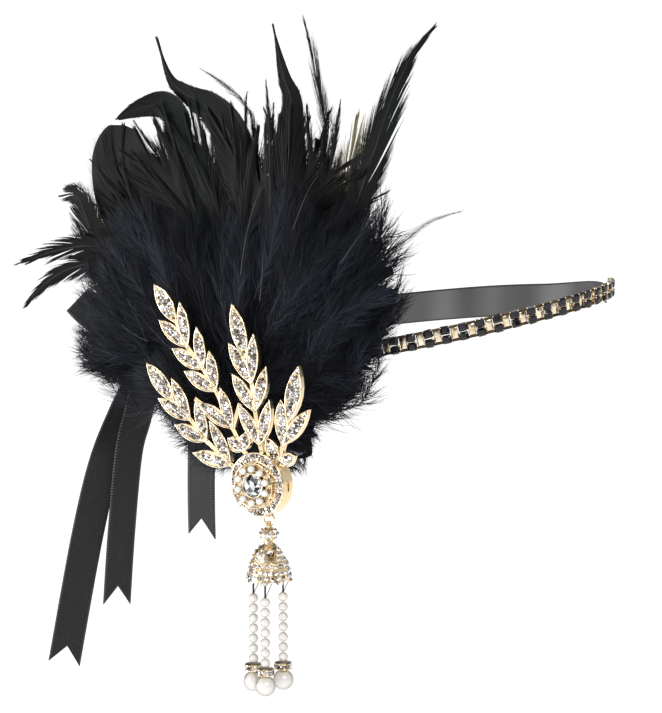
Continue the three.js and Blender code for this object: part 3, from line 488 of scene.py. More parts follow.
def strips(paths, widths, facing, tone):
    """Flat strips along paths (strip, step, axis), with a tone for each strip and the share along it."""
    count, steps, _ = paths.shape
    across = unit(np.cross(np.gradient(paths, axis=1), facing)) * widths[..., None] / 2
    points = np.stack([paths - across, paths + across], axis=2)
    index = np.arange(count * steps * 2).reshape(count, steps, 2)
    share = np.broadcast_to(np.linspace(0, 1, steps)[None, :, None], (count, steps, 2))
    tones = np.broadcast_to(tone[:, None, None], (count, steps, 2))
    return Shape(points, grid_quads(index), (), {"share": share.ravel(), "tone": tones.ravel()})


def spline(points, count):
    """A smooth line through points, as count places evenly spaced along it."""
    points = np.asarray(points, float)
    padded = np.vstack([points[:1], points, points[-1:]])
    share = np.linspace(0, 1, SPLINE_STEPS, endpoint=False)[:, None]
    pieces = []
    for before, start, end, after in zip(padded, padded[1:], padded[2:], padded[3:]):
        leave = (end - before) / 2
        arrive = (after - start) / 2
        cubic = 2 * start - 2 * end + leave + arrive
        square = 3 * end - 3 * start - 2 * leave - arrive
        pieces.append(((cubic * share + square) * share + leave) * share + start)
    line = np.vstack(pieces + [points[-1:]])
    run = run_along(line)
    return resampled(line, run, np.linspace(0, run[-1], count))


def run_along(line):
    return np.concatenate([[0], np.cumsum(np.linalg.norm(np.diff(line, axis=0), axis=1))])


def resampled(values, run, at):
    return np.stack([np.interp(at, run, values[:, k]) for k in range(values.shape[1])], -1)


# Pieces
def add_object(name, data):
    made = bpy.data.objects.new(name, data)
    bpy.context.scene.collection.objects.link(made)
    return made


def add_piece(name, shape, body, materials, nodes=(), smooth=True):
    """A mesh that rides on a body, takes a finish slot and stands for the named nodes."""
    mesh = bpy.data.meshes.new(name)
    corners = np.concatenate([shape.quads.ravel(), shape.triangles.ravel()])
    starts = np.concatenate([
        np.arange(len(shape.quads)) * 4,
        len(shape.quads) * 4 + np.arange(len(shape.triangles)) * 3,
    ])
    mesh.vertices.add(len(shape.points))
    mesh.vertices.foreach_set("co", (shape.points * MM).ravel())
    mesh.loops.add(len(corners))
    mesh.loops.foreach_set("vertex_index", corners)
    mesh.polygons.add(len(starts))
    mesh.polygons.foreach_set("loop_start", starts)
    mesh.polygons.foreach_set("use_smooth", np.full(len(starts), smooth))
    for key, values in shape.fields.items():
        mesh.attributes.new(key, "FLOAT", "POINT").data.foreach_set("value", values)
    mesh.update(calc_edges=True)
    for material in materials:
        mesh.materials.append(material)
    piece = add_object(name, mesh)
    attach(piece, body)
    if nodes:
        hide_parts(*nodes)
    return piece


# Materials
def new_material(name, **settings):
    material = bpy.data.materials.new(name)
    material.use_nodes = True
    shader = material.node_tree.nodes["Principled BSDF"]
    for socket, value in settings.items():
        shader.inputs[socket.replace("_", " ")].default_value = value
    return material


def add_node(material, kind, inputs=None, **options):
    """A node with its options and input values; an input that is a socket is linked."""
    node = material.node_tree.nodes.new(kind)
    for key, value in options.items():
        setattr(node, key, value)
    for key, value in (inputs or {}).items():
        if isinstance(value, bpy.types.NodeSocket):
            material.node_tree.links.new(value, node.inputs[key])
        else:
            node.inputs[key].default_value = value
    return node


def add_ramp(material, source, stops):
    """A colour ramp through stops, each a position and a colour or grey, driven by a socket."""
    ramp = add_node(material, "ShaderNodeValToRGB", {"Fac": source})
    elements = ramp.color_ramp.elements
    while len(elements) < len(stops):
        elements.new(0.5)
    for element, (position, colour) in zip(elements, stops):
        element.position = position
        shade = np.ones(4)
        shade[:3] = colour
        element.color = shade
    return ramp.outputs["Color"]


def feed(material, socket, source):
    shader = material.node_tree.nodes["Principled BSDF"]
    material.node_tree.links.new(source, shader.inputs[socket])


def noise(material, scale, detail=NOISE_DETAIL):
    place = add_node(material, "ShaderNodeTexCoord").outputs["Object"]
    return noise_at(material, place, scale, detail)


def noise_at(material, place, scale, detail):
    settings = {"Vector": place, "Scale": scale, "Detail": detail}
    return add_node(material, "ShaderNodeTexNoise", settings).outputs["Fac"]


def mixed(material, share, first, second):
    """Colour that goes from the first socket to the second with the share."""
    mix = add_node(material, "ShaderNodeMix", {"Factor": share}, data_type="RGBA")
    material.node_tree.links.new(first, mix.inputs["A"])
    material.node_tree.links.new(second, mix.inputs["B"])
    return mix.outputs["Result"]


def field(material, name):
    return add_node(material, "ShaderNodeAttribute", attribute_name=name).outputs["Fac"]


def add_bump(material, source, strength, distance):
    settings = {"Height": source, "Strength": strength, "Distance": distance}
    feed(material, "Normal", add_node(material, "ShaderNodeBump", settings).outputs["Normal"])


def mottled(name, scale, stops, rough, settings):
    """A material whose colour and roughness wander with noise."""
    material = new_material(name, **settings)
    source = noise(material, scale)
    feed(material, "Base Color", add_ramp(material, source, stops))
    feed(material, "Roughness", add_ramp(material, source, list(zip(ROUGH_AT, rough))))
    return material


def toned(name, stops, settings):
    """A material coloured by the own tone of each facet, stone or barb."""
    material = new_material(name, **settings)
    feed(material, "Base Color", add_ramp(material, field(material, "tone"), stops))
    return material


def feather_material(name, dark, quill, patches, rough):
    """Barbs of a dark colour by their tone, with soft patches of other hues (a painted iridescent sheen on
    black vanes, mottling on cream ones); quills are paler.
    """
    material = new_material(name, Specular_IOR_Level=VANE_TONES["gloss"], Roughness=rough)
    shades = [(position, tuple(times * c for c in dark)) for position, times in VANE_TONES["dark"]]
    tone = add_ramp(material, field(material, "tone"), shades + [(VANE_TONES["quill"], quill)])
    sheen_and_mottle = add_ramp(material, noise(material, SHEEN_AND_MOTTLE_PATCHES["hue_scale"], SHEEN_AND_MOTTLE_PATCHES["hue_detail"]), patches)
    share = add_ramp(material, noise(material, SHEEN_AND_MOTTLE_PATCHES["scale"], SHEEN_AND_MOTTLE_PATCHES["detail"]), SHEEN_AND_MOTTLE_PATCHES["stops"])
    feed(material, "Base Color", mixed(material, share, tone, sheen_and_mottle))
    return material


def pearl_material():
    """Nacre: pale and warm in the middle, with painted shade that greys it where it turns away, under a clear
    gloss.
    """
    material = new_material("nacre", **NACRE_AND_EDGE_SHADE["settings"])
    facing = add_node(material, "ShaderNodeLayerWeight", {"Blend": NACRE_AND_EDGE_SHADE["edge_shade_blend"]}).outputs["Facing"]
    # Painted shade: the base colour greys towards the edges where the surface turns from view, with a little
    # noise
    terms = {0: facing, 1: noise(material, NACRE_AND_EDGE_SHADE["scale"]), 2: facing}
    wander = add_node(material, "ShaderNodeMath", terms, operation="MULTIPLY_ADD")
    feed(material, "Base Color", add_ramp(material, wander.outputs["Value"], NACRE_AND_EDGE_SHADE["stops"]))
    return material


def satin_material():
    """Black satin with a stitched edge; the inside of the bands is painted paler, a painted sheen that swells
    and fades slowly along them.
    """
    material = new_material("satin", **SATIN["settings"])
    across = field(material, "across")
    along = field(material, "along")
    place = add_node(material, "ShaderNodeCombineXYZ", {"X": along, "Y": across}).outputs["Vector"]

    def wave(scale, distortion=0.0):
        settings = {"Vector": place, "Scale": scale, "Distortion": distortion}
        return add_node(material, "ShaderNodeTexWave", settings).outputs["Fac"]

    knots = add_ramp(material, wave(SATIN["stitch_scale"]), SATIN["knots"])
    face = add_ramp(material, noise(material, SATIN["face_scale"]), SATIN["face"])
    # A slow painted sheen along the ribbon, shown on the inside of the bands
    sheen_noise = noise_at(material, place, SATIN["sheen_scale"], SATIN["sheen_detail"])
    reverse = add_ramp(material, sheen_noise, SATIN["reverse"])
    cloth = mixed(material, field(material, "reverse"), face, reverse)
    edges = add_ramp(material, across, SATIN["edges"])
    feed(material, "Base Color", mixed(material, edges, cloth, knots))
    feed(material, "Roughness", add_ramp(material, noise(material, SATIN["rough_scale"]), SATIN["rough"]))
    add_bump(material, wave(SATIN["weave_scale"], SATIN["distortion"]), SATIN["weave"], SATIN["weave_depth"])
    return material


gilt, deep_gilt_and_shade, link_metal_in_shade, steel, jet, thread, felt = (mottled(*row) for row in MOTTLED)
add_bump(felt, noise(felt, FELT_NAP["scale"]), FELT_NAP["strength"], FELT_NAP["distance"])
stone, crystal_facet_reflections, down = (toned(*row) for row in TONED)
black_vane, cream_vane = (feather_material(*row) for row in VANE_FINISHES)
pearl_coat = pearl_material()
satin = satin_material()

# The brooch frame and the drop cap take the deeper gold, which is partly painted shade
kept_nodes = {"brooch_frame": deep_gilt_and_shade, "drop_cap": deep_gilt_and_shade, "felt_backing": felt, "brooch_pin": steel}
for node, material in kept_nodes.items():
    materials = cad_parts[node].data.materials
    materials.clear()
    materials.append(material)


# Down
rim_line = np.array(DOWN_RIM + DOWN_RIM[:1], float)
rim_away = rim_line[:-1] - (DOWN["y"], DOWN["z"])
rim_turns = np.arctan2(rim_away[:, 1], rim_away[:, 0])
rim_radii = np.hypot(rim_away[:, 0], rim_away[:, 1])


def down_depth(y, z, layer):
    """Outward place of the dome; layer 1 is its face and 0 its flat back."""
    away_y, away_z = y - DOWN["y"], z - DOWN["z"]
    rim = np.interp(np.arctan2(away_z, away_y), rim_turns, rim_radii, period=TAU)
    reach = (away_y**2 + away_z**2) / rim**2
    return DOWN["back"] - DOWN["depth"] * layer * np.sqrt(np.clip(1 - reach, 0, 1))


def down_layer(seed, count, barbs, first, last, near, far, shallow, deep, barb_width, darkest, palest):
    """Plumes of soft barbs, each on a fine quill; returns the barbs and the quills."""
    random = np.random.default_rng(seed)
    run = run_along(rim_line)
    rim_share = first + (last - first) * (np.arange(count) + random.uniform(0, 1, count)) / count
    rim = resampled(rim_line, run, rim_share * run[-1])
    root = np.array(DOWN_ROOT) + random.normal(0, PLUMES["root_scatter"], (count, 2))
    tip = root + (rim - root) * np.sqrt(random.uniform(near**2, far**2, count))[:, None]
    layer = random.uniform(shallow, deep, count)
    whole = np.linalg.norm(tip - root, axis=1)
    length = PLUMES["length"] * random.uniform(*PLUMES["length_range"], count)
    length = np.minimum(whole * PLUMES["most_of_reach"], length)
    root = tip - (tip - root) * (length / whole)[:, None]
    reach = tip - root
    bend = random.normal(0, PLUMES["bend"], count)

    def on_quill(share):
        swing = (bend[:, None] * np.sin(math.pi * share))[..., None]
        side = np.stack([-reach[:, 1], reach[:, 0]], -1)[:, None]
        flat = root[:, None] + reach[:, None] * share[..., None] + side * swing
        depth = down_depth(flat[..., 0], flat[..., 1], layer[:, None])
        return np.stack([depth, flat[..., 0], flat[..., 1]], -1)

    share = np.sort(random.uniform(0, 1, (count, barbs)) ** BARB["crowding"], axis=1)
    base = on_quill(share)
    along = unit(on_quill(share + BARB["ahead"]) - base)
    across = unit(np.cross(along, OUTWARD))
    lift = np.cross(across, along)
    clumps = math.ceil(barbs / PLUMES["clump"])

    def clumped(spread, own):
        wide = np.repeat(random.normal(0, spread, (count, clumps)), PLUMES["clump"], axis=1)[:, :barbs]
        return wide + random.normal(0, own, (count, barbs))

    side = np.where(random.uniform(0, 1, (count, barbs)) < 0.5, -1.0, 1.0)
    roll = clumped(*BARB["roll"])
    opening = BARB["open"] - BARB["closing"] * share + BARB["open_gain"] * clumped(*BARB["open_scatter"])
    opening = np.radians(np.clip(opening, *BARB["open_limits"]))[..., None]
    away = across * (side * np.cos(roll))[..., None] + lift * np.sin(roll)[..., None]
    longest = np.clip(BARB["share_of_plume"] * length, BARB["shortest"], BARB["longest"])[:, None]
    size = longest * (1 - BARB["tip_shrink"] * share**2)
    size = size * random.uniform(*BARB["size_range"], (count, barbs))
    curl = (clumped(*BARB["curl_scatter"]) + BARB["curl"])[..., None]
    wave = random.normal(0, BARB["wave"], (count, barbs))[..., None]
    step = np.linspace(0, 1, PLUMES["steps"])
    forward = np.cos(opening) * step + curl * step**2 * np.sin(opening)
    outward = np.sin(opening) * (step - BARB["flatten"] * step**2) + wave * np.sin(BARB["waves"] * step)
    paths = base[:, :, None] + size[..., None, None] * (
        along[:, :, None] * forward[..., None] + away[:, :, None] * outward[..., None]
    )
    paths[..., 2] += random.normal(0, BARB["sag"], (count, barbs, 1)) * step**2
    knee = DOWN["knee"]
    paths[..., 0] = DOWN["front"] + knee * np.logaddexp(0, (paths[..., 0] - DOWN["front"]) / knee)
    total = count * barbs
    paths = paths.reshape(total, PLUMES["steps"], 3)
    widths = barb_width * random.uniform(*BARB["width_range"], (total, 1)) * (1 - BARB["narrowing"] * step)
    facing = unit(OUTWARD + random.normal(0, BARB["facing_scatter"], (total, 1, 3)))
    # Each plume gets its own tone at random; the palest plumes stand in as painted highlights on the strands
    plume_tone = np.repeat(random.uniform(darkest, palest, count), barbs)
    tone = np.clip(plume_tone + random.normal(0, BARB["tone_scatter"], total), 0, BARB["palest"])
    steps = DOWN_QUILL["steps"]
    quill_paths = on_quill(np.broadcast_to(np.linspace(DOWN_QUILL["start"], 1, steps), (count, steps)))
    quill_paths[..., 0] = np.maximum(quill_paths[..., 0], DOWN["front"])
    quill_widths = np.broadcast_to(np.linspace(*DOWN_QUILL["widths"], steps), (count, steps))
    quill_tone = random.uniform(*DOWN_QUILL["tones"], count)
    return (
        strips(paths, widths, facing, tone),
        strips(quill_paths, quill_widths, np.array(DOWN_QUILL["facing"]), quill_tone),
    )


def down_skin():
    random = np.random.default_rng(SKIN["seed"])
    turn = turns(SKIN["around"])
    rim = np.interp(turn, rim_turns, rim_radii, period=TAU)
    rim = rim * random.uniform(SKIN["near"], SKIN["far"], len(turn))
    reach = np.linspace(0, 1, SKIN["rings"])[:, None] * rim
    y, z = DOWN["y"] + reach * np.cos(turn), DOWN["z"] + reach * np.sin(turn)
    points = np.stack([down_depth(y, z, SKIN["layer"]), y, z], -1)
    index = np.arange(points[..., 0].size).reshape(SKIN["rings"], SKIN["around"])
    quads = grid_quads(np.column_stack([index, index[:, :1]]))
    return Shape(points, quads, (), {"tone": np.full(index.size, SKIN["tone"])})


add_piece("down_skin", down_skin(), "headband", [down], ["plume_fluff"])
quills = []
for name, *look in DOWN_LAYERS:
    barb_shape, quill_shape = down_layer(*look)
    add_piece(name, barb_shape, "headband", [down], ["plume_fluff"])
    quills.append(quill_shape)
for route in LONG_QUILLS:
    flat = spline(route, LONG_QUILL["steps"])
    depth = np.maximum(down_depth(flat[:, 0], flat[:, 1], 1.0) - LONG_QUILL["front"], DOWN["front"])
    path = np.column_stack([depth, flat])[None]
    widths = np.linspace(*LONG_QUILL["widths"], LONG_QUILL["steps"])[None]
    quills.append(strips(path, widths, np.array(LONG_QUILL["facing"]), np.array([1.0])))
add_piece("down_quills", joined(quills), "headband", [down])


# Tall feathers
def feather_line(layer, points, count):
    flat = spline(points, count)
    run = run_along(flat)
    lean = BLADE["spread"] * (layer - BLADE["middle"]) * smoothstep(run, *BLADE["lean"])
    depth = FELT_OUTER - BLADE["clear"] - BLADE["step"] * layer * smoothstep(run, 0, BLADE["rise"]) - lean
    return np.column_stack([depth, flat]), run


def vane_share(open_share, taper):
    """Breadth along a vane: a round shoulder, then a taper to the tip."""
    share = np.clip(open_share, 0, 1)
    shoulder = np.sqrt(np.sin(math.pi * (VANE["shoulder"] + VANE["round"] * share)))
    return np.maximum(shoulder * (1 - share) ** taper, VANE["least"])


def web_shape(middle, half):
    """One thin skin just behind the barbs, from its middle line and its half breadths."""
    column = np.linspace(-1, 1, WEB["columns"])[:, None]
    points = middle[:, None] + half[:, None] * column + (WEB["behind"], 0, 0)
    index = np.arange(points[..., 0].size).reshape(points.shape[:2])
    blank = np.zeros(index.size)
    return Shape(points, grid_quads(index), (), {"share": blank, "tone": blank + WEB["tone"]})


def feather_shape(seed, style, layer, width, taper, spacing, barb_width, angle, loose, points):
    """A quill with barbs on both sides; loose is how far the barbs part into separate locks."""
    random = np.random.default_rng(seed)
    line, run = feather_line(layer, points, BLADE["steps"])
    length = run[-1]
    line = np.vstack([line, line[-1] + unit(line[-1] - line[-2]) * width])
    run = np.append(run, length + width)
    along = unit(np.gradient(line, axis=0))
    across = unit(np.cross(along, OUTWARD))
    start = BLADE["start"] * length
    count = int((length - start) / spacing)
    lean = math.tan(math.radians(angle))
    step = np.linspace(0, 1, style["steps"])
    shapes = []
    for side in (-1, 1):
        at = start + (length - start) * (np.arange(count) + random.uniform(0, LOCK["stagger"], count)) / count
        lock = np.cumsum(random.uniform(0, 1, count) < LOCK["chance"])
        lock_turn = random.normal(0, 1, lock[-1] + 1)[lock]
        lock_size = 1 - loose * random.uniform(*LOCK["shrink"], lock[-1] + 1)[lock]
        guess = width / 2 * vane_share((at - start) / (length - start), taper)
        reach = np.minimum(guess / lean, (length - at) * LOCK["tip_reach"] + LOCK["tip_spare"])
        half = width / 2 * vane_share((at + reach - start) / (length - start), taper)
        jitter = random.normal(1, LOCK["scatter"] + LOCK["loose_scatter"] * loose, count) * lock_size
        runs = at[:, None] + (reach * jitter)[:, None] * step
        bow = (1 + LOCK["bow"]) * step - LOCK["bow"] * step**2
        spread = (half * jitter * (1 + LOCK["spread"] * loose * lock_turn))[:, None] * bow
        paths = resampled(line, run, runs) + resampled(across, run, runs) * (side * spread)[..., None]
        droop = LOCK["droop"] * side * half + loose * random.normal(0, LOCK["loose_droop"], count)
        paths[..., 0] += droop[:, None] * step**2 - LOCK["front"]
        widths = random.uniform(*LOCK["width_range"], (count, 1)) * (1 - LOCK["narrowing"] * step**3)
        sway = LOCK["sway"] * lock_turn[:, None, None] * resampled(along, run, at)[:, None]
        facing = unit(OUTWARD + LOCK["cupping"] * side * resampled(across, run, at)[:, None] + sway)
        tone = LOCK["tone"] + LOCK["tone_of_lock"] * lock_turn + random.normal(0, LOCK["tone_scatter"], count)
        shapes.append(strips(paths, barb_width * widths, facing, np.clip(tone, 0, LOCK["palest"])))
    if loose < WEB["loose"]:
        at = np.linspace(start, length, WEB["rows"])
        half = WEB["inset"] * width / 2 * vane_share((at - start) / (length - start), taper)
        shapes.append(web_shape(resampled(line, run, at), resampled(across, run, at) * half[:, None]))
    quill = resampled(line, run, np.linspace(0, length, QUILL["steps"]))[None]
    quill[..., 0] -= QUILL["front"]
    quill_width = style["quill"] * np.linspace(1, QUILL["tip"], QUILL["steps"])[None]
    shapes.append(strips(quill, quill_width, np.array(QUILL["facing"]), np.array([style["quill_tone"]])))
    return joined(shapes)


def fan_shape(seed, count, near, far, narrow, broad, *look):
    """Soft feathers side by side, their tips spread about a share of the way to the rim."""
    random = np.random.default_rng(seed)
    rim_places = np.array(FAN_RIM, float)
    run = run_along(rim_places)
    root = np.array(FAN["root"], float)
    shapes = []
    for share in (np.arange(count) + 0.5) / count:
        rim = resampled(rim_places, run, np.array([share * run[-1]]))[0]
        reach = (rim - root) * random.uniform(near, far)
        side = np.array([-reach[1], reach[0]]) * random.normal(0, FAN["sway"])
        route = [root + FAN["start"] * reach, root + FAN["middle"] * reach + side, root + reach]
        layer = random.uniform(0, FAN["layers"])
        width = random.uniform(narrow, broad)
        shapes.append(feather_shape(random.integers(FAN["seeds"]), FAN, layer, width, *look, route))
    return joined(shapes)


for name, *look in FAN_RINGS:
    add_piece(name, fan_shape(*look), "headband", [black_vane])
for seed, (name, *look) in enumerate(FEATHERS):
    pale = name == "cream"
    add_piece(
        "vane_" + name, feather_shape(BLADE["seed"] + seed, VANE, *look), "headband",
        [cream_vane if pale else black_vane], ["feather_" + name],
    )


# Satin ribbon
def on_loop(degrees, offset, tilt, lift=0.0):
    turn = np.radians(degrees)
    reach = np.where(np.sin(turn) < 0, LOOP["front"], LOOP["back"])
    x = LOOP["half_breadth"] * np.cos(turn)
    y = reach * np.sin(turn)
    out = unit(np.stack([np.cos(turn) / LOOP["half_breadth"], np.sin(turn) / reach, 0 * turn], -1))
    brow = np.where(y < 0, tilt["brow_rise"] * y * y, 0)
    height = tilt["base"] + tilt["per_x"] * x + tilt["per_y"] * y + brow + lift
    return np.stack([x, y, height], -1) + out * np.reshape(offset, (-1, 1)), out


def closed_strip(middle, lift, across, along, reverse=0.0):
    """A sheet of cloth closed all round, from its middle surface and half its thickness."""
    rows, columns, _ = middle.shape
    front = np.arange(rows * columns).reshape(rows, columns)
    back = front + rows * columns
    quads = [
        grid_quads(front).reshape(-1, 4),
        np.stack([back[:-1, 1:], back[:-1, :-1], back[1:, :-1], back[1:, 1:]], -1).reshape(-1, 4),
    ]
    sides = [(front[:, 0], back[:, 0]), (back[:, -1], front[:, -1])]
    ends = [(back[0], front[0]), (front[-1], back[-1])]
    for a, b in sides + ends:
        quads.append(np.stack([a[:-1], a[1:], b[1:], b[:-1]], -1))
    points = np.concatenate([(middle + lift).reshape(-1, 3), (middle - lift).reshape(-1, 3)])
    # The inside sheet carries the share of painted sheen that makes the satin's inside paler
    inside_sheen_values = np.repeat([0.0, reverse], rows * columns)
    fields = {"across": np.tile(across.ravel(), 2), "along": np.tile(along.ravel(), 2), "reverse": inside_sheen_values}
    return Shape(points, np.concatenate(quads), (), fields)


def ribbon_piece(name, node, places, across, out, notch=0.0, reverse=0.0):
    """A strip of satin; a shorter across gathers it, notch cuts a swallow tail, and the last argument paints
    a paler sheen on its inside.
    """
    run = run_along(places)
    length = run[-1]
    rows = int(length / RIBBON["row"]) + 1
    column = np.linspace(-0.5, 0.5, RIBBON["columns"])
    at = np.linspace(0, 1, rows)[:, None] * (length - notch * (1 - np.abs(2 * column)))
    middle = resampled(places, run, at) + resampled(across, run, at) * (column * RIBBON["width"])[:, None]
    selvedge = RIBBON["edge"] * smoothstep(np.abs(column), RIBBON["edge_from"], RIBBON["edge_to"])
    lift = resampled(out, run, at) * ((RIBBON["thickness"] + selvedge) / 2)[:, None]
    shape = closed_strip(middle, lift, np.broadcast_to(column + 0.5, at.shape), at, reverse)
    piece = add_piece(name, shape, "headband", [satin], [node])


for name, node, first, last, offset_first, offset_last, lift, breadth, rests_on in BANDS:
    share = np.linspace(0, 1, RIBBON["band_steps"])
    offset = offset_first + (offset_last - offset_first) * smoothstep(share, *OFFSET_EASE)
    end = 1 - smoothstep(share, *END_EASE)
    places, out = on_loop(first + (last - first) * share, offset, RIBBON_TILT, end * lift)
    upright = UPWARD * (1 + (breadth - 1) * end)[:, None]
    # Bands show their inside, which is painted paler as a sheen
    ribbon_piece(name, node, places, upright, out, reverse=1.0)

knot_places, knot_outs = on_loop(np.array([float(KNOT["angle"])]), KNOT["offset"], RIBBON_TILT)
knot_place, knot_out = knot_places[0], knot_outs[0]
knot_along = np.array([-knot_out[1], knot_out[0], 0])


def knot_piece():
    """The short wrap of ribbon over the crossing, pinched into pleats."""
    turn = np.linspace(0, TAU * KNOT["wrap"], KNOT["rows"])[:, None]
    column = np.linspace(-1, 1, KNOT["columns"])
    round_off = np.sqrt(1 - KNOT["pinch"] * column**2)
    phase = KNOT["pleats"] * math.pi * column + KNOT["pleat_sway"] * np.sin(turn)
    pleat = 1 + KNOT["pleat"] * np.cos(phase) + KNOT["spiral"] * turn
    away = knot_out * np.cos(turn)[..., None] * KNOT["out"] + UPWARD * np.sin(turn)[..., None] * KNOT["up"]
    middle = knot_place + knot_along * (column * KNOT["along"] * KNOT["inset"])[None, :, None]
    middle = middle + away * (KNOT["inset"] * round_off * pleat)[..., None]
    lift = unit(away) * RIBBON["thickness"] / 2 + np.zeros_like(middle)
    girth = TAU * math.sqrt((KNOT["out"] ** 2 + KNOT["up"] ** 2) / 2)
    across = np.broadcast_to(column / 2 + 0.5, pleat.shape)
    shape = closed_strip(middle, lift, across, girth * turn / TAU + 0 * column)
    piece = add_piece("satin_knot", shape, "headband", [satin], ["bow_knot"])


knot_piece()
for name, node, aim, beside, length, half in BOW_LOOPS:
    aim = unit(aim)
    across = unit(np.cross(aim, beside))
    bulge = np.cross(across, aim)
    swing = math.pi * np.linspace(0, 1, RIBBON["bow_steps"])[:, None]
    places = knot_place + aim * (LOOP_END["stand_off"] + length * np.sin(swing))
    places = places + bulge * (half * np.sin(2 * swing) + LOOP_END["split"] * np.cos(swing))
    out = unit(np.cross(np.gradient(places, axis=0), across))
    gathered = across * (1 - LOOP_END["gather"] * (1 - np.sin(swing)) ** 2)
    ribbon_piece(name, node, places, gathered, out)
for name, node, turn, holder, points in TAILS:
    places = spline(points, RIBBON["bow_steps"])
    angle = math.radians(turn)
    facing = np.array([
        TAIL_FACING[0] * math.cos(angle) - TAIL_FACING[1] * math.sin(angle),
        TAIL_FACING[0] * math.sin(angle) + TAIL_FACING[1] * math.cos(angle),
        0,
    ])
    along = unit(np.gradient(places, axis=0))
    out = unit(np.cross(facing, along))
    ribbon_piece(name, node, places, np.cross(along, out), out, notch=NOTCH)


# Stone chain
def chain_pieces():
    angles = np.linspace(CHAIN["start"], CHAIN["end"], CHAIN["steps"])
    line, out = on_loop(angles, 0, CHAIN_TILT)
    run = run_along(line)
    count = int(run[-1] / CHAIN["pitch"])
    pitch = run[-1] / count

    def frames(at):
        outward = unit(resampled(out, run, at))
        along = unit(resampled(np.gradient(line, axis=0), run, at))
        up = unit(np.cross(outward, along))
        return resampled(line, run, at), np.stack([along, up, np.cross(along, up)], axis=1)

    def spread(at, offsets):
        """Places at offsets along, up and out from the points of the line at the given runs."""
        place, axes = frames(at)
        places = [place + np.einsum("k,nkd->nd", np.array(offset, float), axes) for offset in offsets]
        return np.tile(axes, (len(offsets), 1, 1)), np.concatenate(places)

    columns = (np.arange(count) + 0.5) * pitch
    between = np.arange(1, count) * pitch
    back = CHAIN["back"]
    row = CHAIN["row"]
    rows = [(0, row, back), (0, -row, back)]
    prong = bead(PRONG["radius"], PRONG["sides"], PRONG["rings"])
    corners = [(PRONG["along"] * x, PRONG["up"] * y) for x in (-1, 1) for y in (-1, 1)]
    prongs = [(x, y + side, back + PRONG["out"]) for side in (row, -row) for x, y in corners]
    bar_row = row + BAR["past_row"]
    bars = [(0, bar_row, back + BAR["out"]), (0, -bar_row, back + BAR["out"])]
    gold = [
        block(CUP).copied(*spread(columns, rows)),
        prong.copied(*spread(columns, prongs)),
        block(TILE).copied(*spread(between, [(0, 0, back)])),
    ]
    add_piece("chain_gold", joined(gold), "headband", [gilt], ["chain_band"])
    # The connecting bars are real; their dark colour is painted shade of the gaps they sit in
    links = block(BAR).copied(*spread(between, bars))
    add_piece("chain_links", links, "headband", [link_metal_in_shade], smooth=False)
    random = np.random.default_rng(CHAIN["seed"])
    axes, places = spread(columns, rows)
    leaned = tilted(axes, random, CHAIN["stone_lean"], CHAIN["stone_spin"])
    stones = block(BLACK_STONE).copied(leaned, places)
    add_piece("chain_stones", stones, "headband", [jet], smooth=False)


def set_stones(gem, axes, places, random, dimmest=0.0):
    """Copies of a stone, each leaned by chance and with a brightness of its own."""
    tone = random.uniform(dimmest, 1, len(places))
    return gem.copied(tilted(axes, random, PAVE["lean"]), places, tone)


def tilted(axes, random, lean, spin=math.pi):
    """Frames spun about their outward axis and leaned a little by chance, as set stones are."""
    count = len(axes)
    turn = random.uniform(-spin, spin, (count, 1))
    side = axes[:, 0] * np.cos(turn) + axes[:, 1] * np.sin(turn)
    sway = random.normal(0, lean, (count, 2, 1))
    out = unit(axes[:, 2] + axes[:, 0] * sway[:, 0] + axes[:, 1] * sway[:, 1])
    other = unit(np.cross(out, side))
    return np.stack([np.cross(other, out), other, out], axis=1)


chain_pieces()


# Brooch
def on_brooch(places):
    return np.asarray(places, float) @ BROOCH_AXES + np.array(BROOCH)


def brooch_axes(count):
    return np.broadcast_to(BROOCH_AXES, (count, 3, 3))


def leaves():
    """Root, tip and width of every leaf."""
    for (end_tip, end_root), pairs in FRONDS:
        yield end_root, end_tip, LEAF["terminal"]
        for joint, left_tip, right_tip in pairs:
            yield joint, left_tip, LEAF["left"]
            yield joint, right_tip, LEAF["right"]


def leaf_frame(root, tip):
    start = np.array(root, float) + (LEAF["shift"], 0)
    run = np.array(tip, float) - np.array(root, float)
    length = np.linalg.norm(run)
    along = run / length
    return start, along, np.array([-along[1], along[0]]), length


def leaf_sides(length, width):
    """Runs along the leaf and its half breadths there."""
    share = np.linspace(0, 1, RIM["steps"])
    swell = 2 * share * (1 - share)
    return length * (swell * LEAF["middle"] + share**2), swell * width


